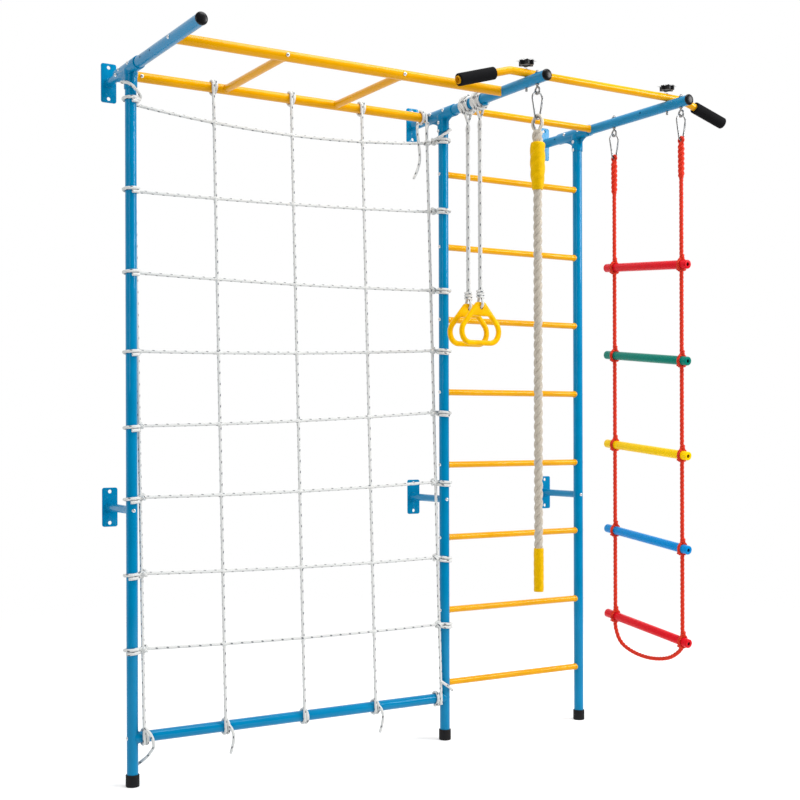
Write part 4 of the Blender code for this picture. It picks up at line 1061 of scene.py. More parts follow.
def snap_hook(name, node, gate_node, eye):
    """A pear of 6 mm wire, open on its +X side, where a gate on a rivet closes it."""
    top = eye + UP * (2 * WIRE_R + LINK_GAP)
    high = top - UP * HOOK_TOP_R
    low = top - UP * (HOOK_LENGTH - HOOK_BOTTOM_R)
    lean = math.asin((HOOK_TOP_R - HOOK_BOTTOM_R) / (high - low).length)
    side = Vector((math.cos(lean), 0.0, -math.sin(lean)))
    upper, lower = high + side * HOOK_TOP_R, low + side * HOOK_BOTTOM_R
    hinge, latch = upper.lerp(lower, 1 - GATE_END), upper.lerp(lower, GATE_END)
    tilt = math.degrees(lean)
    route = [latch, latch.lerp(upper, 0.5)]
    route += arc_points(high, X_WAY, UP, HOOK_TOP_R, -tilt, 180 + tilt, 30)
    route += arc_points(low, X_WAY, UP, HOOK_BOTTOM_R, 180 + tilt, 360 - tilt, 24)
    way = (upper - lower).normalized()
    route.append(hinge - way * (WIRE_R + GATE_CLEARANCE))
    nose = bent_wire(route, WIRE_R)
    dress(nose, name, zinc_plate, node, angle=50.0)
    length = (latch - hinge).length - GATE_CLEARANCE
    profile = [(0.0, length), (WIRE_R - 0.0007, length), (WIRE_R, length - 0.0007), (WIRE_R, 0.012),
               (GATE_SLEEVE_R, 0.010), (GATE_SLEEVE_R, 0.0)]
    profile += [(radius, -height) for radius, height in arc(0, 0, GATE_SLEEVE_R, 20, 90, 6)]
    gate = lathe(profile, hinge, latch, 32)
    rivet = soften(rod(hinge - Y_WAY * RIVET_REACH, hinge + Y_WAY * RIVET_REACH, RIVET_R, 20), 0.0004)
    pin_middle = latch - way * LATCH_PIN_BACK
    reach = Y_WAY * LATCH_PIN_REACH
    pin = soften(rod(pin_middle - reach, pin_middle + reach, LATCH_PIN_R, 20), 0.0003)
    dress(joined([gate, rivet, pin]), name + "_gate", zinc_plate, gate_node, angle=50.0)


snap_hook("rope_hook", "rope_snap_hook", "rope_hook_gate", rope_eye)
ladder_eyes = [eye_place(RIGHT, reach) for reach in (LADDER_EYE_REACH_BACK, LADDER_EYE_REACH_FRONT)]
for number, (eye, load) in enumerate(ladder_eyes, 1):
    snap_hook("ladder_hook_%d" % number, "ladder_snap_hook_%d" % number, "ladder_hook_gate_%d" % number, eye)

# %% [markdown]
# ## The rope ladder
# One red rope makes both sides. It starts in an eye at the first hook, drops past five rungs, swings
# under the lowest in a slack loop, and climbs back to an eye at the second hook: 3.76 m in all. Its
# ends are spliced back into it, which gives the thick braided necks below the hooks. At each rung it
# takes a turn round the tube. The turns are pieces of their own, since a rope can't stand two
# radii away from its own middle.

# %% Ladder rope
LADDER_ROPE_R = 0.0068
LADDER_LAY = 0.045
LADDER_EYE_ROPE_R = 0.0055
LADDER_EYE_R = 0.0125
NARROW_EYE_R = 0.0092
LADDER_SPLICE_R = 0.0105
LADDER_NECK_R = 0.0118
LADDER_SPLICE_DROP = 0.260
LADDER_RUNG_DROPS = ((0.522, 0.554), (0.839, 0.881), (1.162, 1.202), (1.471, 1.520), (1.780, 1.836))
LADDER_LOOP = ((0.214, 1.830), (0.245, 1.878), (0.315, 1.904), (0.404, 1.911), (0.490, 1.897), (0.545, 1.865))
CORD_STEP = 7
LADDER_GROOVE = 0.38
STRAND_FULLNESS = 1.08

eye_to_top = WIRE_R + LINK_GAP + LADDER_EYE_ROPE_R - 2 * LADDER_EYE_R - LADDER_SPLICE_R
ladder_tops = [load + UP * eye_to_top for eye, load in ladder_eyes]
ladder_legs = []
for top, drop in zip(ladder_tops, LADDER_RUNG_DROPS[-1]):
    near = Vector((top.x, top.y, -drop))
    count = round((top.z - near.z) / (CORD_STEP * LADDER_ROPE_R))
    ladder_legs.append([top.lerp(near, i / count) for i in range(count + 1)])
slack = [below_beam(RIGHT, -reach, drop) for reach, drop in LADDER_LOOP]
ladder_path = smooth_path(ladder_legs[0] + slack + ladder_legs[1][::-1], 0.0028)
ladder_rope = laid(ladder_path, even(LADDER_ROPE_R * STRAND_FULLNESS), LADDER_GROOVE, LADDER_LAY, 24, 0.3)
dress(ladder_rope, "ladder_rope_laid", red_lay, "ladder_rope", angle=70.0)
print("ladder rope", round(path_length(ladder_path), 4), "m")

# %% Eyes and splices of the ladder rope
EYE_LAY = 0.030
EYE_GROOVE = 0.34
NECK_LAY = 0.050
NECK_GROOVE = 0.46
NECK_START_R = 0.0090
NECK_DROP = 0.0095

for number, (eye, load) in enumerate(ladder_eyes, 1):
    middle = load + UP * (WIRE_R + LINK_GAP + LADDER_EYE_ROPE_R - NARROW_EYE_R)
    loop = arc_points(middle, Y_WAY, UP, NARROW_EYE_R, -75, 255, 60)
    loop_end = middle - UP * (NARROW_EYE_R * 1.8)
    loop_path = smooth_path([loop_end] + loop + [loop_end], 0.0016)
    loop_piece = laid(loop_path, even(LADDER_EYE_ROPE_R), EYE_GROOVE, EYE_LAY, 20)
    neck_top = middle - UP * NECK_DROP
    neck_low = below_beam(RIGHT, neck_top.y + POST_TO_WALL, LADDER_SPLICE_DROP)
    neck_path = smooth_path([neck_top.lerp(neck_low, i / 6) for i in range(7)], 0.0018)
    neck_radius = tapered([(0.0, NECK_START_R), (0.12, LADDER_NECK_R), (0.92, LADDER_NECK_R - 0.0008),
                           (1.0, LADDER_ROPE_R)])
    neck = laid(neck_path, neck_radius, NECK_GROOVE, NECK_LAY, 36)
    trim = joined([loop_piece, neck])
    dress(trim, "ladder_splice_%d" % number, red_lay, body="rope_ladder", slot="red_rope", angle=70.0)

# %% Rungs with end plugs, and the rope's turns round them
LADDER_RUNG_R = 0.0152
LADDER_RUNG_PROUD_BACK = 0.045
LADDER_RUNG_PROUD_FRONT = 0.031
LADDER_RUNG_COLORS = ("red", "green", "yellow", "blue", "red")
HITCH_ROPE_R = 0.0052
HITCH_BITE = 0.0008
HITCH_TURNS = 0.62
HITCH_LAY = 0.032
PLUG_R = 0.0065
PLUG_GAP = 0.0003
PLUG_HOLE = 0.006
PLUG_FACES = (0.0046, 0.0052)
PLUG_BACK = 0.010


def hitch(middle, way):
    """A turn and a quarter of rope round a rung, and the lump where it crosses itself on top."""
    radius = LADDER_RUNG_R + HITCH_ROPE_R - HITCH_BITE
    over = (UP - way * UP.dot(way)).normalized()
    path = helix(middle, way, over, radius, HITCH_ROPE_R * 1.7, -HITCH_TURNS, HITCH_TURNS, 36)
    turn = laid(path, even(HITCH_ROPE_R), EYE_GROOVE, HITCH_LAY, 20)
    lump_path = smooth_path([middle + over * (LADDER_RUNG_R - 0.002) - way * 0.006,
                             middle + over * (LADDER_RUNG_R + 0.007),
                             middle + over * (LADDER_RUNG_R + 0.020) + way * 0.002], 0.0016)
    lump_radius = tapered([(0.0, 0.0075), (0.35, 0.0098), (0.8, 0.0080), (1.0, LADDER_ROPE_R)])
    return [turn, laid(lump_path, lump_radius, 0.40, EYE_LAY, 28)]


for number, (back, front) in enumerate(LADDER_RUNG_DROPS, 1):
    start = below_beam(RIGHT, -LADDER_EYE_REACH_BACK + LADDER_RUNG_PROUD_BACK, back)
    end = below_beam(RIGHT, -LADDER_EYE_REACH_FRONT - LADDER_RUNG_PROUD_FRONT, front)
    way = (end - start).normalized()
    tube = soften(rod(start, end, LADDER_RUNG_R), 0.0022, 4)
    for tip, out in ((start, -way), (end, way)):
        drill(tube, tip - out * PLUG_HOLE, tip + out * 0.01, PLUG_R)
    color = LADDER_RUNG_COLORS[number - 1]
    dress(tube, "rung_of_ladder_%d" % number, rung_looks[color], "ladder_rung_%d" % number)
    turns = []
    for reach in (LADDER_EYE_REACH_BACK, LADDER_EYE_REACH_FRONT):
        y = -reach - POST_TO_WALL
        middle = start.lerp(end, (y - start.y) / (end.y - start.y))
        turns += hitch(middle, way)
    trim = joined(turns)
    dress(trim, "rung_hitches_%d" % number, red_lay, body="rope_ladder", slot="red_rope", angle=70.0)
    plugs = []
    for tip, inward, face in ((start, way, PLUG_FACES[0]), (end, -way, PLUG_FACES[1])):
        plug = rod(tip + inward * face, tip + inward * PLUG_BACK, PLUG_R - PLUG_GAP, 24)
        plugs.append(soften(plug, 0.0005))
    dress(joined(plugs), "rung_plugs_%d" % number, cap_plastic, body="rope_ladder", slot="black_plastic")

# %% [markdown]
# ## Gym rings and their ropes
# Each ring is a flat moulded handle, a rounded triangle with a D-shaped hole for the hand. A white
# braided rope 9 mm thick is lashed round the beam, runs down through the small hole in the handle's
# crown, and goes back up to its second lashing, 1.917 m in one piece. The outline is laid out as the
# mould maker draws it, from corners with radii, then extruded and its edges rounded.

# %% Rope of each ring
RING_REACHES = (0.155, 0.227)
RING_DROP = 0.680
RING_HOLE_DROP = 0.019
RING_BAR = 0.016
RING_ROPE_R = 0.0045
RING_ROPE_SLACK = 0.002
RING_LASHING_TURNS = 1.75
RING_LEG_OFFSET = 0.65
WIND_GAP = 0.0010
ROPE_TURN = 0.0003
LEG_SPREAD = 0.0047
LASHING_DROP = 0.075
KNOT_LIFT = 0.050
KNOT_WRAP_R = 0.0100
KNOT_WRAPS = 3
KNOT_WRAP_RISE = 0.009
LASHING_SLANT = 0.011
LASHING_OUT = 0.0128
KNOT_SIDES = 60


def knot(center, way, size, rope_r):
    """An overhand knot: a trefoil of rope pulled small, its threefold axis along a direction."""
    center, way = Vector(center), Vector(way).normalized()
    across = way.orthogonal().normalized()
    side = way.cross(across)
    points = []
    for i in range(KNOT_SIDES + 1):
        t = 2 * math.pi * i / KNOT_SIDES
        flat = across * (math.sin(t) + 2 * math.sin(2 * t)) + side * (math.cos(t) - 2 * math.cos(2 * t))
        points.append(center + flat * size / 3 - way * math.sin(3 * t) * size * 0.42)
    return braided(points[:-1] + [points[0]], even(rope_r))


def leg(start, hole, spread):
    """One leg of the rope, held close to the other from under the lashing to the knot."""
    beside = Vector((start.x * 0.88, (start.y + hole.y + spread) / 2, -TUBE_R * 1.25))
    high = Vector((hole.x, hole.y + spread, -LASHING_DROP))
    low = hole + Y_WAY * spread + UP * KNOT_LIFT
    return [beside, high] + [high.lerp(low, i / 24) for i in range(1, 25)]


def ring_wraps(beam, low):
    """Two slanting turns over the lashing, and the wraps that bind both legs over the handle."""
    pieces = []
    for slant in (LASHING_SLANT, -LASHING_SLANT):
        route = []
        for a in [math.radians(10 * i) for i in range(36)]:
            spoke = (X_WAY * math.cos(a) + UP * math.sin(a)) * (TUBE_R + LASHING_OUT)
            route.append(beam + spoke + Y_WAY * slant * math.sin(a))
        pieces.append(braided(route + route[:1], even(RING_ROPE_R)))
    wrap = helix(low + UP * KNOT_WRAP_RISE, UP, X_WAY, KNOT_WRAP_R, -2 * RING_ROPE_R, 0, KNOT_WRAPS)
    pieces.append(braided(wrap, even(RING_ROPE_R)))
    return joined(pieces)


def ring_rope(number, reach):
    """One rope, from its first lashing down through the handle and up to its second."""
    hole = below_beam(MIDDLE, -reach, RING_DROP + RING_HOLE_DROP)
    bend = RING_BAR / 2 + RING_ROPE_R + RING_ROPE_SLACK
    pitch = 2 * RING_ROPE_R + WIND_GAP
    radius = TUBE_R + RING_ROPE_R + ROPE_TURN
    low = hole + UP * bend
    u_turn = [low + (Y_WAY * math.cos(a) - UP * math.sin(a)) * bend for a in
              [math.pi * i / 14 for i in range(15)]]
    leave = place(MIDDLE, -reach + pitch * RING_LEG_OFFSET, BEAM_HEIGHT)
    meet = place(MIDDLE, -reach - pitch * RING_LEG_OFFSET, BEAM_HEIGHT)
    first = helix(leave, Y_WAY, tangent_spoke(Y_WAY, leave, u_turn[0], radius, True), radius, -pitch,
                  -RING_LASHING_TURNS, 0)
    last = helix(meet, Y_WAY, tangent_spoke(Y_WAY, meet, u_turn[-1], radius, False), radius, -pitch,
                 0, RING_LASHING_TURNS)
    down = leg(first[-1], hole, LEG_SPREAD)
    up = leg(last[0], hole, -LEG_SPREAD)[::-1]
    path = smooth_path(first + down + u_turn + up + last, 0.0024)
    rope = braided(path, even(RING_ROPE_R), 20)
    dress(rope, "ring_rope_braid_%d" % number, white_braid, "ring_rope_%d" % number, angle=70.0)
    wraps = ring_wraps(place(MIDDLE, -reach, BEAM_HEIGHT), hole + UP * KNOT_LIFT)
    body = frame["nodes"]["ring_rope_%d" % number]["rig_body"]
    dress(wraps, "ring_rope_knot_%d" % number, white_braid, body=body, slot="white_rope", angle=70.0)
    print("ring rope", number, round(path_length(path), 4), "m")
    return hole


ring_holes = [ring_rope(number, reach) for number, reach in enumerate(RING_REACHES, 1)]

# %% Handle outline
RING_WIDTH = 0.181
RING_LIMB = 0.018
RING_HEIGHT = 0.147
RING_TOP_WIDTH = 0.034
RING_CROSSBAR = 0.048
RING_BASE_SHARE = 0.78
RING_SHOULDER_SHARE = 0.40
RING_RADII = (0.043, 0.043, 0.053, 0.012, 0.012, 0.053)
GRIP_RADII = (0.026, 0.026, 0.033, 0.010, 0.010, 0.033)
RING_ROUNDING = 0.0068
RING_HOLE_R = 0.0068


def rounded_corner(before, corner, after, radius, steps):
    """An arc of the given radius that blends two straight runs."""
    a, b = (before - corner).normalized(), (after - corner).normalized()
    half = a.angle(b) / 2
    center = corner + (a + b).normalized() * radius / math.sin(half)
    start = corner + a * radius / math.tan(half) - center
    end = corner + b * radius / math.tan(half) - center
    sweep, axis = start.angle(end), start.cross(end).normalized()
    return [center + Matrix.Rotation(sweep * i / steps, 3, axis) @ start for i in range(steps + 1)]


def round_outline(corners, radii, steps):
    """An outline in the XZ plane, each corner rounded with its own radius."""
    corners = [Vector((x, 0.0, z)) for x, z in corners]
    rounded = []
    for i, corner in enumerate(corners):
        rounded += rounded_corner(corners[i - 1], corner, corners[(i + 1) % len(corners)], radii[i], steps)
    return rounded


def inset(corners, distances):
    """A counterclockwise outline whose edges are moved inwards, each by its own distance."""
    lines = []
    for i, corner in enumerate(corners):
        start, end = Vector(corner), Vector(corners[(i + 1) % len(corners)])
        way = (end - start).normalized()
        lines.append((start + Vector((-way.y, way.x)) * distances[i], way))
    moved = []
    for i, (start, way) in enumerate(lines):
        before, turn = lines[i - 1]
        t = ((start - before).x * way.y - (start - before).y * way.x) / (turn.x * way.y - turn.y * way.x)
        moved.append(before + turn * t)
    return moved


def pulled_face(points, pull):
    """One flat face through the points, pulled out in edit mode, which is left open."""
    mesh = bpy.data.meshes.new("slab")
    mesh.from_pydata(points, [], [list(range(len(points)))])
    piece = new_piece("slab", mesh)
    bpy.ops.object.mode_set(mode="EDIT")
    bpy.ops.mesh.select_all(action="SELECT")
    bpy.ops.mesh.extrude_region_move(TRANSFORM_OT_translate={"value": tuple(pull)})
    return piece


def slab(outline, origin, thickness, way=Y_WAY):
    """A plate with the outline's own shape, its thickness half to each side along a direction."""
    piece = pulled_face([Vector(origin) + p - way * thickness / 2 for p in outline], way * thickness)
    close_up()
    return piece


print("outline helpers ready")


# %% Handles
def ring_handle(number, hole):
    """The outer pattern, less the inner one, less the hole for the rope."""
    top, low = RING_HOLE_DROP, RING_HOLE_DROP - RING_HEIGHT
    shoulder = low + RING_HEIGHT * RING_SHOULDER_SHARE
    half, crown = RING_WIDTH / 2, RING_TOP_WIDTH / 2
    base = half * RING_BASE_SHARE
    corners = [(-base, low), (base, low), (half, shoulder), (crown, top), (-crown, top), (-half, shoulder)]
    outer = round_outline(corners, RING_RADII, 12)
    inner = inset(corners, [RING_CROSSBAR if i == 3 else RING_LIMB for i in range(len(corners))])
    grip = round_outline([(p.x, p.y) for p in inner], GRIP_RADII, 12)
    handle = slab(outer, hole, RING_BAR)
    boolean(handle, "DIFFERENCE", slab(grip, hole, RING_BAR * 2))
    soften(handle, RING_ROUNDING, 6, 60.0)
    drill(handle, hole - Y_WAY * RING_BAR, hole + Y_WAY * RING_BAR, RING_HOLE_R, 40)
    dress(handle, "gym_ring_handle_%d" % number, ring_plastic, "gym_ring_%d" % number, angle=35.0)


for number, hole in enumerate(ring_holes, 1):
    ring_handle(number, hole)

# %% [markdown]
# ## Posts, feet and cross tubes
# The frame is cut from round steel tube with a wall of 1.5 mm. A tube is a cylinder without its end
# faces, given its wall by Solidify, and where one tube meets another its end is coped, cut to the
# other's round, as a tube notcher does. A thin weld bead closes the joint. Rubber cups stand under
# the posts, turned on a lathe here because the real ones come out of a round mould.

# %% Posts and feet
GAP = 0.0003
FOOT_R = 0.021
FOOT_HEIGHT = 0.037
FOOT_BASE = 0.004
FOOT_GROOVES = (0.0300, 0.0270)
FOOT_WIDE_FROM = 0.010
BORE_SIDES = 64


def tube_piece(start, end):
    """A length of the frame's tube: a cylinder with no end faces, given its wall."""
    return hollow(rod(start, end, TUBE_R, BORE_SIDES, ends="NOTHING"), TUBE_WALL)


def foot_profile():
    """The outline of a rubber cup, from the floor of its bore round its grooved outside."""
    bore = TUBE_R + GAP
    cup = [(0.0, FOOT_BASE), (bore, FOOT_BASE), (bore, FOOT_HEIGHT - 0.0005), (bore + 0.0007, FOOT_HEIGHT)]
    cup += arc(FOOT_R - 0.0014, FOOT_HEIGHT - 0.0014, 0.0014, 90, 0, 5)
    for groove in FOOT_GROOVES:
        cup += [(FOOT_R, groove + 0.0007), (FOOT_R - 0.0006, groove), (FOOT_R, groove - 0.0007)]
    return cup + [(FOOT_R, FOOT_WIDE_FROM)] + arc(FOOT_R - 0.0025, 0.0025, 0.0025, 0, -90, 6) + [(0.0, 0.0)]


for side, x in SIDES.items():
    post = tube_piece(place(x, 0, FOOT_BASE + GAP), place(x, 0, BEAM_HEIGHT - TUBE_R - GAP))
    dress(post, "post_tube_" + side, blue_coat, "post_" + side, angle=30.0)
    cup = lathe(foot_profile(), place(x, 0, 0), place(x, 0, 1))
    dress(cup, "rubber_foot_" + side, rubber, "foot_" + side, angle=35.0)

# %% Coped bars with weld beads
BEAD = 0.0013
BEAD_WIDTH = 0.0032
SEAT_HALF = 0.04


def coped(bar, *seats):
    """Cuts a bar to the rounds of the tubes that it meets, each given as (start, end, radius)."""
    return boolean(bar, "DIFFERENCE", *[rod(a, b, r + GAP, BORE_SIDES) for a, b, r in seats])


def bead(center, way, bar_radius, tube_radius):
    """A ring of weld where a bar leaves a tube: a short fat collar that the seat is cut from too."""
    way = Vector(way).normalized()
    reach = math.sqrt(max(tube_radius ** 2 - bar_radius ** 2, 0.0)) * 0.6 + tube_radius * 0.4
    collar = rod(center + way * reach * 0.5, center + way * (tube_radius + BEAD_WIDTH), bar_radius + BEAD, 48)
    return soften(collar, BEAD * 0.8, 4, 60.0)


def cross_bar(name, look, node, start, end, radius, seat_radius, seat_way):
    """A bar between two tubes that run along seat_way, coped and welded at both ends."""
    start, end, seat_way = Vector(start), Vector(end), Vector(seat_way)
    way = (end - start).normalized()
    bar = rod(start, end, radius)
    for center, out in ((start, way), (end, -way)):
        boolean(bar, "UNION", bead(center, out, radius, seat_radius))
    half = seat_way * SEAT_HALF
    coped(bar, (start - half, start + half, seat_radius), (end - half, end + half, seat_radius))
    dress(bar, name, look, node, angle=32.0)


print("bar helpers ready")

# %% Wall rungs, bottom bar and top bar
BOTTOM_BAR_HEIGHT = 0.148
RUNG_R = 0.011
FIRST_RUNG_HEIGHT = 0.200
RUNG_PITCH = 0.2554
RUNG_COUNT = 8
TOP_BAR_R = 0.012
TOP_BAR_REACH = 0.090

for number in range(RUNG_COUNT):
    height = FIRST_RUNG_HEIGHT + number * RUNG_PITCH
    cross_bar("wall_bar_%d" % (number + 1), yellow_coat, "wall_rung_%d" % (number + 1),
              place(MIDDLE, 0, height), place(RIGHT, 0, height), RUNG_R, TUBE_R, UP)
cross_bar("bottom_tube", blue_coat, "bottom_bar", place(LEFT, 0, BOTTOM_BAR_HEIGHT),
          place(MIDDLE, 0, BOTTOM_BAR_HEIGHT), TUBE_R, TUBE_R, UP)
cross_bar("top_tube", yellow_coat, "top_bar", place(MIDDLE, -TOP_BAR_REACH, BEAM_HEIGHT),
          place(RIGHT, -TOP_BAR_REACH, BEAM_HEIGHT), TOP_BAR_R, TUBE_R, Y_WAY)

# %% [markdown]
# ## Beams, end caps and saddles
# A beam is the same tube laid level. It is drilled through for the eye bolts and the knobs' studs,
# and a domed plastic cap closes its free end. The saddle is a welded tee of two short sleeves with a
# gusset plate in its corners; the post goes up into it and the beam slides through it. The gusset
# is drawn as a flat pattern with two hollow curves, extruded to 5 mm and welded into the sleeves.

# %% End cap outline
CAP_DOME = 0.009
CAP_RIM = 0.0185
CAP_EDGE = 0.003
CAP_PLUG = 0.014
TUBE_INSIDE = TUBE_R - TUBE_WALL - GAP


def cap_profile():
    """A low dome over the rim, and a plug below it with one sealing groove."""
    dome = [(0.0, CAP_DOME)]
    for angle in range(80, -1, -10):
        turn = math.radians(angle)
        dome.append((CAP_RIM * math.cos(turn), CAP_EDGE + (CAP_DOME - CAP_EDGE) * math.sin(turn)))
    return dome + [(CAP_RIM, GAP + 0.0008), (CAP_RIM - 0.0006, GAP), (TUBE_INSIDE, GAP),
                   (TUBE_INSIDE, -0.0040), (TUBE_INSIDE - 0.0008, -0.0052), (TUBE_INSIDE, -0.0064),
                   (TUBE_INSIDE, -CAP_PLUG + 0.0015), (TUBE_INSIDE - 0.0015, -CAP_PLUG), (0.0, -CAP_PLUG)]


print("a cap's outline has", len(cap_profile()), "points")

# %% Beams with drilled holes, and their caps
BEAM_REACH = 0.595
BEAM_BACK = 0.188
LEFT_BEAM_REACH = 0.560
LEFT_BEAM_BACK = 0.100
PULL_REACH = 0.490
STUD_R = 0.004
BEAM_ENDS = {"left": (LEFT_BEAM_BACK, -LEFT_BEAM_REACH), "middle": (BEAM_BACK, -BEAM_REACH),
             "right": (BEAM_BACK, -BEAM_REACH)}
DRILLED = {"left": (), "middle": (ROPE_EYE_REACH, PULL_REACH),
           "right": (LADDER_EYE_REACH_BACK, LADDER_EYE_REACH_FRONT, PULL_REACH)}
SIDE_HOLES = {"left": (-0.13, -0.21), "middle": (), "right": (0.115, -0.371)}
SIDE_HOLE_R = 0.0035
DRILL_PAST = 0.03

for side, x in SIDES.items():
    back, front = BEAM_ENDS[side]
    beam = tube_piece(place(x, back, BEAM_HEIGHT), place(x, front, BEAM_HEIGHT))
    for reach in DRILLED[side]:
        drill(beam, place(x, -reach, BEAM_HEIGHT - DRILL_PAST), place(x, -reach, BEAM_HEIGHT + DRILL_PAST),
              SHANK_R + GAP)
    for y in SIDE_HOLES[side]:
        drill(beam, place(x - DRILL_PAST, y, BEAM_HEIGHT), place(x, y, BEAM_HEIGHT), SIDE_HOLE_R, 24)
    dress(beam, "beam_tube_" + side, blue_coat, "beam_" + side, angle=30.0)
    cap = lathe(cap_profile(), place(x, front, BEAM_HEIGHT), place(x, front - 1, BEAM_HEIGHT))
    dress(cap, "beam_end_cap_" + side, cap_plastic, "beam_cap_" + side, angle=40.0)

# %% Saddles
SADDLE_WALL = 0.0027
SADDLE_BACK = 0.105
SADDLE_FRONT = 0.075
SADDLE_DROP = 0.065
SADDLE_WEB = 0.005
SADDLE_LIP = 0.006
SADDLE_EDGE = 0.0007
SADDLE_WELD = (0.0020, 0.0012, 0.0010)
LEG_SLACK = 0.00008
SLEEVE_R = TUBE_R + GAP + SADDLE_WALL


def gusset_outline():
    """The web's two arms with a hollow curve on each side of the post."""
    buried = SLEEVE_R - SADDLE_WALL / 2
    outline = [(SADDLE_BACK - SADDLE_LIP, -TUBE_R / 2), (SADDLE_LIP - SADDLE_FRONT, -TUBE_R / 2)]
    for reach, start, end in ((-SADDLE_FRONT, 0, 90), (SADDLE_BACK, 90, 180)):
        tip = reach - math.copysign(SADDLE_LIP, reach)
        run = abs(tip) - buried
        rise = SADDLE_DROP - SADDLE_LIP - buried
        outline += [(tip + run * a, SADDLE_LIP - SADDLE_DROP + rise * b)
                    for a, b in arc(0.0, 0.0, 1.0, end, start, 17)]
    return [Vector((0.0, y, z)) for y, z in outline]


for side, x in SIDES.items():
    middle = place(x, 0, BEAM_HEIGHT)
    arm_front, arm_back = place(x, -SADDLE_FRONT, BEAM_HEIGHT), place(x, SADDLE_BACK, BEAM_HEIGHT)
    saddle = soften(rod(arm_front, arm_back, SLEEVE_R, BORE_SIDES), SADDLE_EDGE, 3)
    leg_foot = place(x, 0, BEAM_HEIGHT - SADDLE_DROP)
    sleeve_leg = soften(rod(leg_foot, middle, SLEEVE_R - LEG_SLACK, BORE_SIDES), SADDLE_EDGE, 3)
    web = soften(slab(gusset_outline(), middle, SADDLE_WEB, X_WAY), SADDLE_EDGE, 2, 60.0)
    weld_drop, weld_out, weld_round = SADDLE_WELD
    weld_low, weld_top = place(x, 0, BEAM_HEIGHT - SLEEVE_R - weld_drop), place(x, 0, BEAM_HEIGHT - 0.004)
    weld = soften(rod(weld_low, weld_top, SLEEVE_R + weld_out, BORE_SIDES), weld_round, 3)
    boolean(saddle, "UNION", weld, sleeve_leg, web)
    bore_front = place(x, -SADDLE_FRONT - DRILL_PAST, BEAM_HEIGHT)
    bore_back = place(x, SADDLE_BACK + DRILL_PAST, BEAM_HEIGHT)
    bore_foot = place(x, 0, BEAM_HEIGHT - SADDLE_DROP - DRILL_PAST)
    coped(saddle, (bore_front, bore_back, TUBE_R), (bore_foot, middle, TUBE_R))
    dress(saddle, "saddle_tee_" + side, blue_coat, "saddle_" + side, angle=35.0)

# %% [markdown]
# ## Wall brackets
# Each bracket is a plate with two screw holes and a round arm welded to it. The arm of an upper
# bracket plugs into the back of its beam; a lower one is coped to its post and flares into its plate.
# The plate starts as a pattern with rounded corners, drilled before its edges are broken.

# %% Brackets
PLATE_WIDTH = 0.050
PLATE_HEIGHT = 0.125
PLATE_THICKNESS = 0.005
PLATE_CORNER = 0.007
PLATE_HOLE_R = 0.006
PLATE_HOLE_SPACING = 0.100
ARM_R = 0.0125
ARM_FLARE = 0.004
ARM_FLARE_LENGTH = 0.020
ARM_PLUG = 0.030
ARM_WELD = 0.0030
ARM_BURIED = 0.001
LOWER_BRACKET_HEIGHT = 0.845
PLATE_FACE = POST_TO_WALL - PLATE_THICKNESS


def wall_plate(x, height):
    """A plate with round corners and a screw hole at each end."""
    half_w, half_h = PLATE_WIDTH / 2 - PLATE_CORNER, PLATE_HEIGHT / 2 - PLATE_CORNER
    outline = []
    for sx, sz, start in ((1, 1, 0), (-1, 1, 90), (-1, -1, 180), (1, -1, 270)):
        outline += arc(sx * half_w, sz * half_h, PLATE_CORNER, start, start + 90, 9)
    pattern = [Vector((a, 0.0, b)) for a, b in outline]
    plate = slab(pattern, place(x, PLATE_FACE + PLATE_THICKNESS / 2, height), PLATE_THICKNESS)
    for way in (1, -1):
        middle = place(x, 0, height + way * PLATE_HOLE_SPACING / 2)
        drill(plate, middle + Y_WAY * (PLATE_FACE - 0.01), middle + Y_WAY * (POST_TO_WALL + 0.01),
              PLATE_HOLE_R, 40)
    return soften(plate, 0.0008, 3, 50.0)


def arm_lathe(profile, x, height):
    """A round arm given as (radius, distance behind the posts' plane) pairs."""
    return lathe(profile, place(x, 0, height), place(x, 1, height))


def upper_arm(back):
    """A plug for the beam's back end, a shoulder, the arm, and a round of weld at the plate."""
    plug_end = back - ARM_PLUG
    weld = [(ARM_R + ARM_WELD * math.cos(a), PLATE_FACE + 0.0002 - ARM_WELD * math.sin(a))
            for a in [math.radians(90 - 18 * i) for i in range(6)]]
    arm = [(0.0, plug_end), (TUBE_INSIDE - 0.001, plug_end), (TUBE_INSIDE, plug_end + 0.001),
           (TUBE_INSIDE, back - GAP - 0.0005), (TUBE_INSIDE - 0.0005, back - GAP), (ARM_R, back - GAP),
           (ARM_R, back + 0.001), (ARM_R, PLATE_FACE - 0.0035)]
    return arm + weld + [(ARM_R + ARM_WELD, PLATE_FACE + ARM_BURIED), (0.0, PLATE_FACE + ARM_BURIED)]


def lower_arm():
    """A plain arm that flares into its plate."""
    flare = []
    for i in range(9):
        share = i / 8
        flare.append((ARM_R + ARM_FLARE * share ** 2, PLATE_FACE - ARM_FLARE_LENGTH * (1 - share)))
    buried = PLATE_FACE + ARM_BURIED
    return [(0.0, 0.0), (ARM_R, 0.0), (ARM_R, 0.05)] + flare + [(ARM_R + ARM_FLARE, buried), (0.0, buried)]


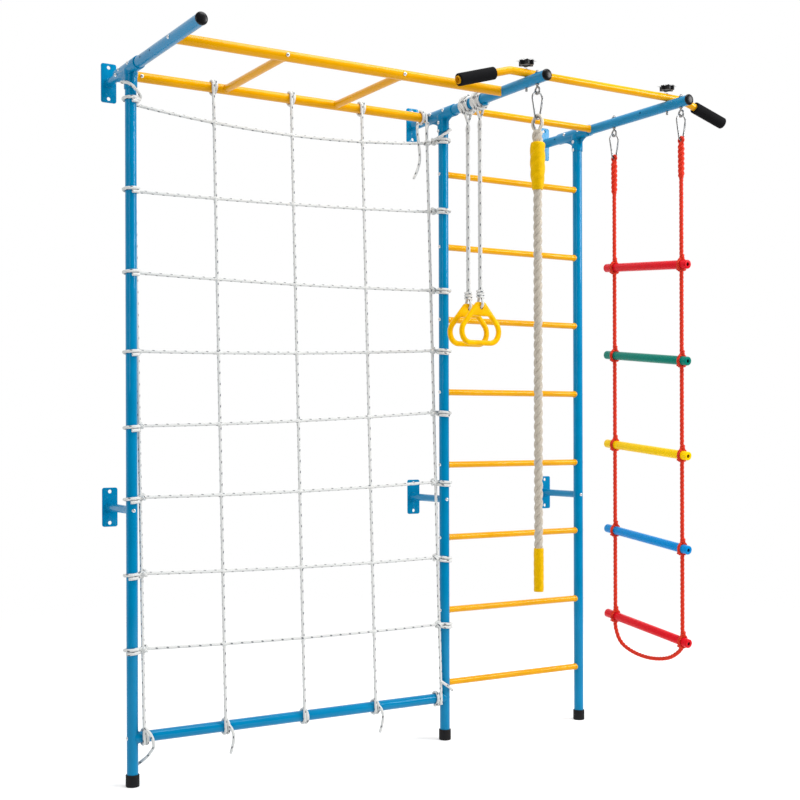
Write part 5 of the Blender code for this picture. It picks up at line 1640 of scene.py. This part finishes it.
for side, x in SIDES.items():
    arm = arm_lathe(upper_arm(BEAM_ENDS[side][0]), x, BEAM_HEIGHT)
    upper = boolean(wall_plate(x, BEAM_HEIGHT), "UNION", arm)
    dress(upper, "upper_bracket_" + side, blue_coat, "upper_wall_bracket_" + side, angle=35.0)
    arm = arm_lathe(lower_arm(), x, LOWER_BRACKET_HEIGHT)
    lower = boolean(wall_plate(x, LOWER_BRACKET_HEIGHT), "UNION", arm)
    boolean(lower, "UNION", bead(place(x, 0, LOWER_BRACKET_HEIGHT), Y_WAY, ARM_R, TUBE_R))
    seat_low = place(x, 0, LOWER_BRACKET_HEIGHT - SEAT_HALF)
    coped(lower, (seat_low, place(x, 0, LOWER_BRACKET_HEIGHT + SEAT_HALF), TUBE_R))
    dress(lower, "lower_bracket_" + side, blue_coat, "lower_wall_bracket_" + side, angle=35.0)

# %% [markdown]
# ## Monkey bars
# Two long rails carry two crossbars, all welded into one frame that is bolted between the left and
# the middle beam. The crossbars are joined to the rails by an exact Boolean, with a bead of weld
# round each joint, and the rails' ends are coped to the beams and to the saddles.

# %% Monkey-bar frame
RAIL_R = 0.016
FRONT_RAIL_REACH = 0.360
BACK_RAIL_SETBACK = 0.085
CROSSBAR_R = 0.0125
CROSSBAR_OFFSETS = (0.35, 0.755)

rails = [rod(place(LEFT, y, BEAM_HEIGHT), place(MIDDLE, y, BEAM_HEIGHT), RAIL_R, BORE_SIDES)
         for y in (-FRONT_RAIL_REACH, BACK_RAIL_SETBACK)]
monkey_bars = rails[0]
for offset in CROSSBAR_OFFSETS:
    front = place(LEFT + offset, -FRONT_RAIL_REACH, BEAM_HEIGHT)
    back = place(LEFT + offset, BACK_RAIL_SETBACK, BEAM_HEIGHT)
    boolean(monkey_bars, "UNION", rod(front, back, CROSSBAR_R), bead(front, Y_WAY, CROSSBAR_R, RAIL_R),
            bead(back, -Y_WAY, CROSSBAR_R, RAIL_R))
boolean(monkey_bars, "UNION", rails[1])
for x in (LEFT, MIDDLE):
    for y, radius in ((-FRONT_RAIL_REACH, TUBE_R), (BACK_RAIL_SETBACK, SLEEVE_R)):
        seat = place(x, y, BEAM_HEIGHT)
        coped(monkey_bars, (seat - Y_WAY * DRILL_PAST, seat + Y_WAY * DRILL_PAST, radius))
dress(monkey_bars, "monkey_bars_welded", yellow_coat, "monkey_bar_frame", angle=32.0)

# %% [markdown]
# ## Pull-up bar, grips and knobs
# The bar is one tube, bent down at both ends for a wide grip. It lies over the beams, and two star
# knobs with long studs clamp it through bar and beam, so it can be taken off by hand. The grips are
# foam tubes pushed over the ends. The tube follows a polyline whose corners are rounded with the
# bender's radius, and Solidify gives it a wall, because its open ends show inside the grips.

# %% Bar
PULL_R = 0.0125
PULL_BEND_OUT = 0.066
PULL_TIP_OUT = 0.265
PULL_DROP_ANGLE = math.radians(16.5)
PULL_BEND_R = 0.060
GRIP_R = 0.020
GRIP_LENGTH = 0.140
GRIP_INSET = 0.004

pull_height = BEAM_HEIGHT + TUBE_R + PULL_R + GAP
tip_drop = (PULL_TIP_OUT - PULL_BEND_OUT) * math.tan(PULL_DROP_ANGLE)
pull_route = [place(MIDDLE - PULL_TIP_OUT, -PULL_REACH, pull_height - tip_drop),
              place(MIDDLE - PULL_BEND_OUT, -PULL_REACH, pull_height),
              place(RIGHT + PULL_BEND_OUT, -PULL_REACH, pull_height),
              place(RIGHT + PULL_TIP_OUT, -PULL_REACH, pull_height - tip_drop)]
pull_points = [pull_route[0]]
for i in (1, 2):
    pull_points += rounded_corner(pull_route[i - 1], pull_route[i], pull_route[i + 1], PULL_BEND_R, 10)
pull_bar = hollow(bent_wire(pull_points + [pull_route[3]], PULL_R, resolution=10, caps=False), TUBE_WALL)
for x in (MIDDLE, RIGHT):
    drill(pull_bar, place(x, -PULL_REACH, pull_height - DRILL_PAST),
          place(x, -PULL_REACH, pull_height + DRILL_PAST), STUD_R + GAP)
dress(pull_bar, "pull_up_tube", yellow_coat, "pull_up_bar", angle=40.0)

# %% Foam grips
GRIP_ROUND = 0.0030
GRIP_CHAMFER = 0.001

grip_bore = PULL_R + GAP
grip_profile = [(grip_bore, GRIP_LENGTH - GRIP_CHAMFER), (grip_bore + GRIP_CHAMFER, GRIP_LENGTH)]
grip_profile += arc(GRIP_R - GRIP_ROUND, GRIP_LENGTH - GRIP_ROUND, GRIP_ROUND, 90, 0, 7)
grip_profile += [(GRIP_R, GRIP_LENGTH * i / 8) for i in range(7, 0, -1)]
grip_profile += arc(GRIP_R - GRIP_ROUND, GRIP_ROUND, GRIP_ROUND, 0, -90, 7)
grip_profile += [(grip_bore + GRIP_CHAMFER, 0.0), (grip_bore, GRIP_CHAMFER)]
for side, tip, bend in (("left", pull_route[0], pull_route[1]), ("right", pull_route[3], pull_route[2])):
    way = (bend - tip).normalized()
    grip = lathe(grip_profile, tip + way * GRIP_INSET, bend + way * GRIP_INSET, ring=True)
    dress(grip, "foam_sleeve_" + side, foam, "foam_grip_" + side, angle=50.0)

# %% Star knobs
KNOB_R = 0.026
KNOB_LOBE = 0.0042
KNOB_LOBES = 6
KNOB_THICKNESS = 0.0145
KNOB_HUB_R = 0.012
KNOB_HUB_HEIGHT = 0.0115
KNOB_SIDES = 96
KNOB_RIM = 0.0085
KNOB_DISH = 0.0016
KNOB_DISH_STEP = 0.0030
KNOB_DISH_RISE = 0.0008
KNOB_ROUND = 0.0042


def star_knob(seat):
    """A lobed disc drawn flat and pulled up, its edges rounded and its top dished, on a conical hub."""
    outline = []
    for i in range(KNOB_SIDES):
        angle = 2 * math.pi * i / KNOB_SIDES
        radius = KNOB_R - KNOB_LOBE + KNOB_LOBE * math.cos(KNOB_LOBES * angle)
        outline.append(seat + Vector((radius * math.cos(angle), radius * math.sin(angle), KNOB_HUB_HEIGHT)))
    star = pulled_face(outline, UP * KNOB_THICKNESS)
    bpy.ops.mesh.inset(thickness=KNOB_RIM)
    bpy.ops.transform.translate(value=(0.0, 0.0, -KNOB_DISH))
    bpy.ops.mesh.inset(thickness=KNOB_DISH_STEP)
    bpy.ops.transform.translate(value=(0.0, 0.0, KNOB_DISH_RISE))
    close_up()
    soften(star, KNOB_ROUND, 5, 60.0)
    buried = KNOB_HUB_HEIGHT + 0.002
    hub = [(0.0, 0.0), (KNOB_HUB_R - 0.0035, 0.0), (KNOB_HUB_R - 0.0030, 0.0008),
           (KNOB_HUB_R - 0.0020, 0.0045), (KNOB_HUB_R + 0.0010, KNOB_HUB_HEIGHT - 0.001),
           (KNOB_HUB_R + 0.0025, buried), (0.0, buried)]
    return boolean(star, "UNION", lathe(hub, seat, seat + UP))


# %% Studs, and both knobs in place
STUD_TAIL = 0.012
STUD_BURIED = 0.001
THREAD_PITCH = 0.00125
THREAD_DEPTH = 0.00045


def threaded_stud(top, length):
    """A threaded rod drawn as fine rings a pitch apart, with a chamfered end."""
    profile = [(0.0, -length), (STUD_R - 0.0009, -length), (STUD_R - 0.0004, -length + 0.0008)]
    rings = int((length - 0.002) / THREAD_PITCH)
    for i in range(rings):
        low = -length + 0.001 + i * THREAD_PITCH
        profile += [(STUD_R - THREAD_DEPTH, low), (STUD_R, low + THREAD_PITCH * 0.5)]
    profile += [(STUD_R - 0.0004, 0.0), (0.0, 0.0)]
    return lathe(profile, top, top + UP, 20)


for side, x, body in (("left", MIDDLE, "knob_a"), ("right", RIGHT, "knob_b")):
    seat = place(x, -PULL_REACH, pull_height + PULL_R + GAP)
    dress(star_knob(seat), "clamp_knob_" + side, cap_plastic, "star_knob_" + side, angle=40.0)
    reach = 2 * TUBE_R + 2 * PULL_R + 2 * GAP + STUD_TAIL
    stud = threaded_stud(seat + UP * STUD_BURIED, reach + STUD_BURIED)
    dress(stud, "clamp_stud_" + side, zinc_plate, body=body, slot="zinc_steel", angle=25.0)

# %% [markdown]
# ## The climbing net
# The net is 13 ropes: eight rows tied round the two posts, and five columns tied round the back rail
# and the bottom tube. At each crossing one rope passes through the other, which swells there. The
# rows sag a little, the top one most. The ends are wound one turn and a quarter with smooth helices
# that leave their tube where a taut rope really would, on a tangent. Four ends are left long and hang
# free: one at each of two corners, and the cut ends of two columns under the bottom tube.

# %% Net layout
LEFT_BAY = MIDDLE - LEFT
NET_R = 0.005
NET_TURNS = 1.25
NET_TOP_DROP = 0.090
NET_LOW_LEFT = 0.273
NET_LOW_RIGHT = 0.261
NET_SPREAD_LEFT = (0.0, 0.164, 0.314, 0.459, 0.596, 0.726, 0.864, 1.0)
NET_SPREAD_RIGHT = (0.0, 0.145, 0.310, 0.435, 0.563, 0.707, 0.863, 1.0)
NET_TOP_SAG = 0.038
NET_SAG = 0.008
NET_INSET = 0.030
NET_COLUMN_DRIFT = (0.0, -0.001, 0.008, 0.007, 0.0)
NET_STEP = 0.0030
CROSSING_SWELL = 0.55
COLUMN_SWELL = 0.30
CROSSING_WIDTH = 0.0085


def net_depth(height):
    """How far behind the posts' plane the net hangs: it leans forward from the rail to the bottom."""
    top = BACK_RAIL_SETBACK - RAIL_R - NET_R
    low = -TUBE_R - NET_R
    return low + (top - low) * (height - BOTTOM_BAR_HEIGHT) / (BEAM_HEIGHT - BOTTOM_BAR_HEIGHT)


def row_heights(low, spread):
    """Where the rows meet a post, from the top row down to the lowest."""
    return [first_row + (BOTTOM_BAR_HEIGHT + low - first_row) * share for share in spread]


column_step = (LEFT_BAY - 2 * NET_INSET) / (len(NET_COLUMN_DRIFT) - 1)
columns = [LEFT + NET_INSET + column_step * k + drift for k, drift in enumerate(NET_COLUMN_DRIFT)]
first_row = BEAM_HEIGHT - NET_TOP_DROP
left_rows = row_heights(NET_LOW_LEFT, NET_SPREAD_LEFT)
right_rows = row_heights(NET_LOW_RIGHT, NET_SPREAD_RIGHT)
crossings = []
for row, (left, right) in enumerate(zip(left_rows, right_rows)):
    line = []
    for x in columns:
        t = (x - LEFT) / LEFT_BAY
        height = left + (right - left) * t - (NET_TOP_SAG if row == 0 else NET_SAG) * 4 * t * (1 - t)
        line.append(place(x, net_depth(height), height))
    crossings.append(line)
print("net crossings", len(crossings) * len(columns))

# %% Rows and columns
def swelling(path, spots, size):
    """A rope radius that swells where another rope passes through, near each of the spots."""
    walked, marks = 0.0, []
    steps = []
    for before, after in zip(path, path[1:]):
        steps.append(walked)
        walked += (after - before).length
    steps.append(walked)
    for spot in spots:
        nearest = min(range(len(path)), key=lambda i: (path[i] - spot).length)
        marks.append(steps[nearest])

    def radius_at(gone, length):
        swell = sum(math.exp(-((gone - mark) / CROSSING_WIDTH) ** 2) for mark in marks)
        return NET_R * (1 + size * min(1.0, swell))
    return radius_at


def net_rope(name, first, line, last, size):
    """One rope of the net: a winding, the run through its crossings, and the other winding."""
    path = smooth_path(first + line + last, NET_STEP)
    dress(braided(path, swelling(path, line, size)), name, white_braid, "climbing_net", angle=70.0)


def shared_helix(center, axis, target, core, hand, leaving):
    """A winding round a tube whose free end points at a target."""
    radius = core + NET_R + ROPE_TURN
    pitch = (2 * NET_R + WIND_GAP) * hand
    spoke = tangent_spoke(axis, center, target, radius, leaving)
    if leaving:
        return helix(center, axis, spoke, radius, pitch, -NET_TURNS, 0)
    return helix(center, axis, spoke, radius, pitch, 0, NET_TURNS)


for row, line in enumerate(crossings):
    first = shared_helix(place(LEFT, 0, left_rows[row]), UP, line[0], TUBE_R, 1, True)
    last = shared_helix(place(MIDDLE, 0, right_rows[row]), UP, line[-1], TUBE_R, -1, False)
    net_rope("net_row_%d" % (row + 1), first, line, last, CROSSING_SWELL)
for k, x in enumerate(columns):
    hand = -1 if k == len(columns) - 1 else 1
    column = [line[k] for line in crossings]
    first = shared_helix(place(x, BACK_RAIL_SETBACK, BEAM_HEIGHT), X_WAY, column[0], RAIL_R, -hand, True)
    last = shared_helix(place(x, 0, BOTTOM_BAR_HEIGHT), X_WAY, column[-1], TUBE_R, hand, False)
    net_rope("net_column_%d" % (k + 1), first, column, last, COLUMN_SWELL)

# %% Knots and corner ties
NET_KNOT_OUT = 0.022
NET_KNOT = 0.0098
LEFT_KNOT = 0.0100
RIGHT_KNOT = 0.0110
POST_TIE = ((-0.028, 0.006, 0.012), (-0.016, -0.021, 0.006), (0.006, -0.0275, -0.010),
            (0.024, -0.016, -0.024), (0.034, 0.010, -0.030))
LOW_TIE = ((-0.036, -0.024, 0.214), (-0.018, -0.029, 0.201), (0.004, -0.0275, 0.186), (0.021, -0.016, 0.173))


def points_from(x, height, offsets):
    """Points given by how far across, back and up they lie."""
    return [place(x + across, back, height + rise) for across, back, rise in offsets]


def tie(points, radius=NET_R):
    """A short length of net rope along a few points, and its path."""
    path = smooth_path(points, NET_STEP)
    thin = radius * 0.8
    return braided(path, tapered([(0.0, thin), (0.04, radius), (0.96, radius), (1.0, thin)])), path


ties = []
for left, right, line in zip(left_rows, right_rows, crossings):
    for post, crossing in ((place(LEFT, 0, left), line[0]), (place(MIDDLE, 0, right), line[-1])):
        way = (crossing - post).normalized()
        ties.append(knot(post + way * (TUBE_R + NET_KNOT_OUT), way, NET_KNOT, NET_R))
corner_left = place(LEFT, BACK_RAIL_SETBACK, BEAM_HEIGHT)
corner_right = place(MIDDLE, BACK_RAIL_SETBACK, BEAM_HEIGHT)
top_left, top_right = crossings[0][0], crossings[0][-1]
corner_ties = (
    [corner_left + Vector((0.0, -0.050, -0.045)), corner_left + Vector((0.020, -0.032, -0.068)),
     top_left + Vector((-0.012, 0.0, 0.012)), top_left],
    [place(LEFT, -TUBE_R - NET_R, first_row - 0.008), place(LEFT + 0.024, -0.010, first_row - 0.006),
     top_left + Vector((0.0, -0.004, 0.004))],
    [corner_right + Vector((-0.022, -0.022, -0.020)), corner_right + Vector((-0.034, -0.030, -0.050)),
     top_right + Vector((0.002, 0.004, 0.012)), top_right],
    points_from(LEFT, first_row + 0.032, POST_TIE),
    points_from(MIDDLE, first_row + 0.028, [(-across, back, rise) for across, back, rise in POST_TIE]),
    points_from(MIDDLE, 0.0, LOW_TIE))
ties += [tie(points)[0] for points in corner_ties]
ties.append(knot(top_left, UP, LEFT_KNOT, NET_R))
ties.append(knot(top_right, UP, RIGHT_KNOT, NET_R))
dress(joined(ties), "net_knots", white_braid, "climbing_net", angle=70.0)

# %% Free tails
TOP_TAIL = ((-0.068, 0.062, 2.176), (-0.070, 0.060, 2.150), (-0.064, 0.060, 2.095),
            (-0.060, 0.060, 2.047), (-0.070, 0.060, 2.008), (-0.086, 0.060, 1.974))
LOW_TAIL = ((0.025, -0.030, 0.188), (0.047, -0.036, 0.156), (0.057, -0.030, 0.123), (0.053, -0.012, 0.100),
            (0.044, 0.002, 0.082), (0.030, 0.014, 0.067), (0.022, 0.028, 0.056))
COLUMN_TAIL = ((0.006, -0.0285, 0.010), (0.016, -0.034, -0.006), (0.023, -0.032, -0.030),
               (0.022, -0.026, -0.058), (0.016, -0.022, -0.085))

tails = (("net_free_tail", points_from(MIDDLE, 0.0, TOP_TAIL)),
         ("net_low_tail", points_from(LEFT, 0.0, LOW_TAIL)),
         ("net_tail_column_2", points_from(columns[1], BOTTOM_BAR_HEIGHT, COLUMN_TAIL)),
         ("net_tail_column_4", points_from(columns[3], BOTTOM_BAR_HEIGHT, COLUMN_TAIL)))
for name, points in tails:
    free_tail, free_path = tie(points, NET_R * 0.95)
    dress(free_tail, name, white_braid, "climbing_net", angle=70.0)

# %% [markdown]
# ## Fasteners
# Low domed screws with a hexagon socket hold the saddles, rungs and rails. A head is upset in a die,
# so all are lathed from one profile and the socket is punched with a six-sided tool. Nuts close the
# far side of each clamp. None of them moves by itself, so each family is one piece that rides with
# the frame. The picture shows the heads of the screws, and their lengths inside stay unseen.

# %% Screw heads and nuts
HEAD_R = 0.0060
HEAD_HEIGHT = 0.0034
HEAD_DOME = ((0.0, 1.0), (0.45, 0.98), (0.74, 0.86), (0.92, 0.62), (1.0, 0.34), (1.0, 0.0), (0.0, 0.0))
SOCKET_R = 0.0027
SOCKET_FLOOR = 0.0018
SINK = 0.0008


def screw_head(start, way):
    """A low dome with a hexagon socket, its rim sunk a hair into the face that it holds."""
    start, way = Vector(start) - Vector(way) * SINK, Vector(way)
    profile = [(HEAD_R * r, (HEAD_HEIGHT + SINK) * h) for r, h in HEAD_DOME]
    socket = rod(start + way * SOCKET_FLOOR, start + way * 0.01, SOCKET_R, 6)
    return boolean(lathe(profile, start, start + way, 24), "DIFFERENCE", socket)


def screws(name, pieces):
    """Joins one family of heads and nuts into a piece that rides with the frame."""
    dress(joined(pieces), name, bright_zinc, body="root", slot="zinc_steel", angle=35.0)


print("a head is", round(HEAD_HEIGHT * 1000, 1), "mm high")

# %% Saddle screws
ARM_SCREWS = ((0.0547, 2.2065), (-0.0268, 2.2065))
LEFT_ARM_SCREW = (0.081, 2.195)
LEG_SCREW_HEIGHTS = (2.168, 2.138)
SCREW_NUT_R = 0.0060
SCREW_NUT_HEIGHT = 0.0040


def across_arm(x, y, height):
    """Both sides of a saddle's arm, at a height that need not be the beam's own."""
    half = math.sqrt(SLEEVE_R ** 2 - (height - BEAM_HEIGHT) ** 2)
    return place(x - half, y, height), place(x + half, y, height)


def across_leg(x, height):
    """Both sides of a saddle's leg."""
    return place(x - SLEEVE_R, 0, height), place(x + SLEEVE_R, 0, height)


for side, x in SIDES.items():
    spots = [across_arm(x, y, height) for y, height in ARM_SCREWS]
    if side == "left":
        spots.append(across_arm(x, *LEFT_ARM_SCREW))
    else:
        spots += [across_leg(x, height) for height in LEG_SCREW_HEIGHTS]
    heads = [screw_head(near, -X_WAY) for near, far in spots]
    nuts = [hex_nut(far - X_WAY * SINK, X_WAY, SCREW_NUT_R, SCREW_NUT_HEIGHT) for near, far in spots]
    screws("saddle_screws_" + side, heads + nuts)

# %% Rung, bottom tube and rail screws
RAIL_SCREW_OFFSET = 0.0616

rung_heights = [FIRST_RUNG_HEIGHT + RUNG_PITCH * k for k in range(RUNG_COUNT)]
for name, x, way in (("middle", MIDDLE - TUBE_R, -X_WAY), ("right", RIGHT + TUBE_R, X_WAY)):
    screws("rung_screws_" + name, [screw_head(place(x, 0, height), way) for height in rung_heights])
screws("bottom_tube_screws", [screw_head(place(LEFT - TUBE_R, 0, BOTTOM_BAR_HEIGHT), -X_WAY),
                              screw_head(place(MIDDLE + TUBE_R, 0, BOTTOM_BAR_HEIGHT), X_WAY)])
screws("bracket_screws",
       [screw_head(place(x, -TUBE_R, LOWER_BRACKET_HEIGHT), -Y_WAY) for x in SIDES.values()])
rail_screws = [screw_head(place(LEFT - TUBE_R, -FRONT_RAIL_REACH, BEAM_HEIGHT), -X_WAY)]
for offset in CROSSBAR_OFFSETS:
    rail_screws.append(screw_head(place(LEFT + offset, -FRONT_RAIL_REACH - RAIL_R, BEAM_HEIGHT), -Y_WAY))
    rail_screws.append(screw_head(place(LEFT + offset, BACK_RAIL_SETBACK + RAIL_R, BEAM_HEIGHT), Y_WAY))
inner_side = BACK_RAIL_SETBACK - RAIL_R
rail_screws.append(screw_head(place(LEFT + RAIL_SCREW_OFFSET, inner_side, BEAM_HEIGHT), -Y_WAY))
screws("rail_screws", rail_screws)

# %% Stop peg under the middle beam
PEG_REACH = 0.258
PEG_R = 0.0095
PEG_LENGTH = 0.008
PEG_ROUND = 0.002

peg_top = place(MIDDLE, -PEG_REACH, BEAM_HEIGHT - TUBE_R + PEG_ROUND)
peg = rod(peg_top, peg_top - UP * PEG_LENGTH, PEG_R)
dress(soften(peg, PEG_ROUND, 3), "rope_stop_peg", blue_coat, body="root", slot="blue_frame")
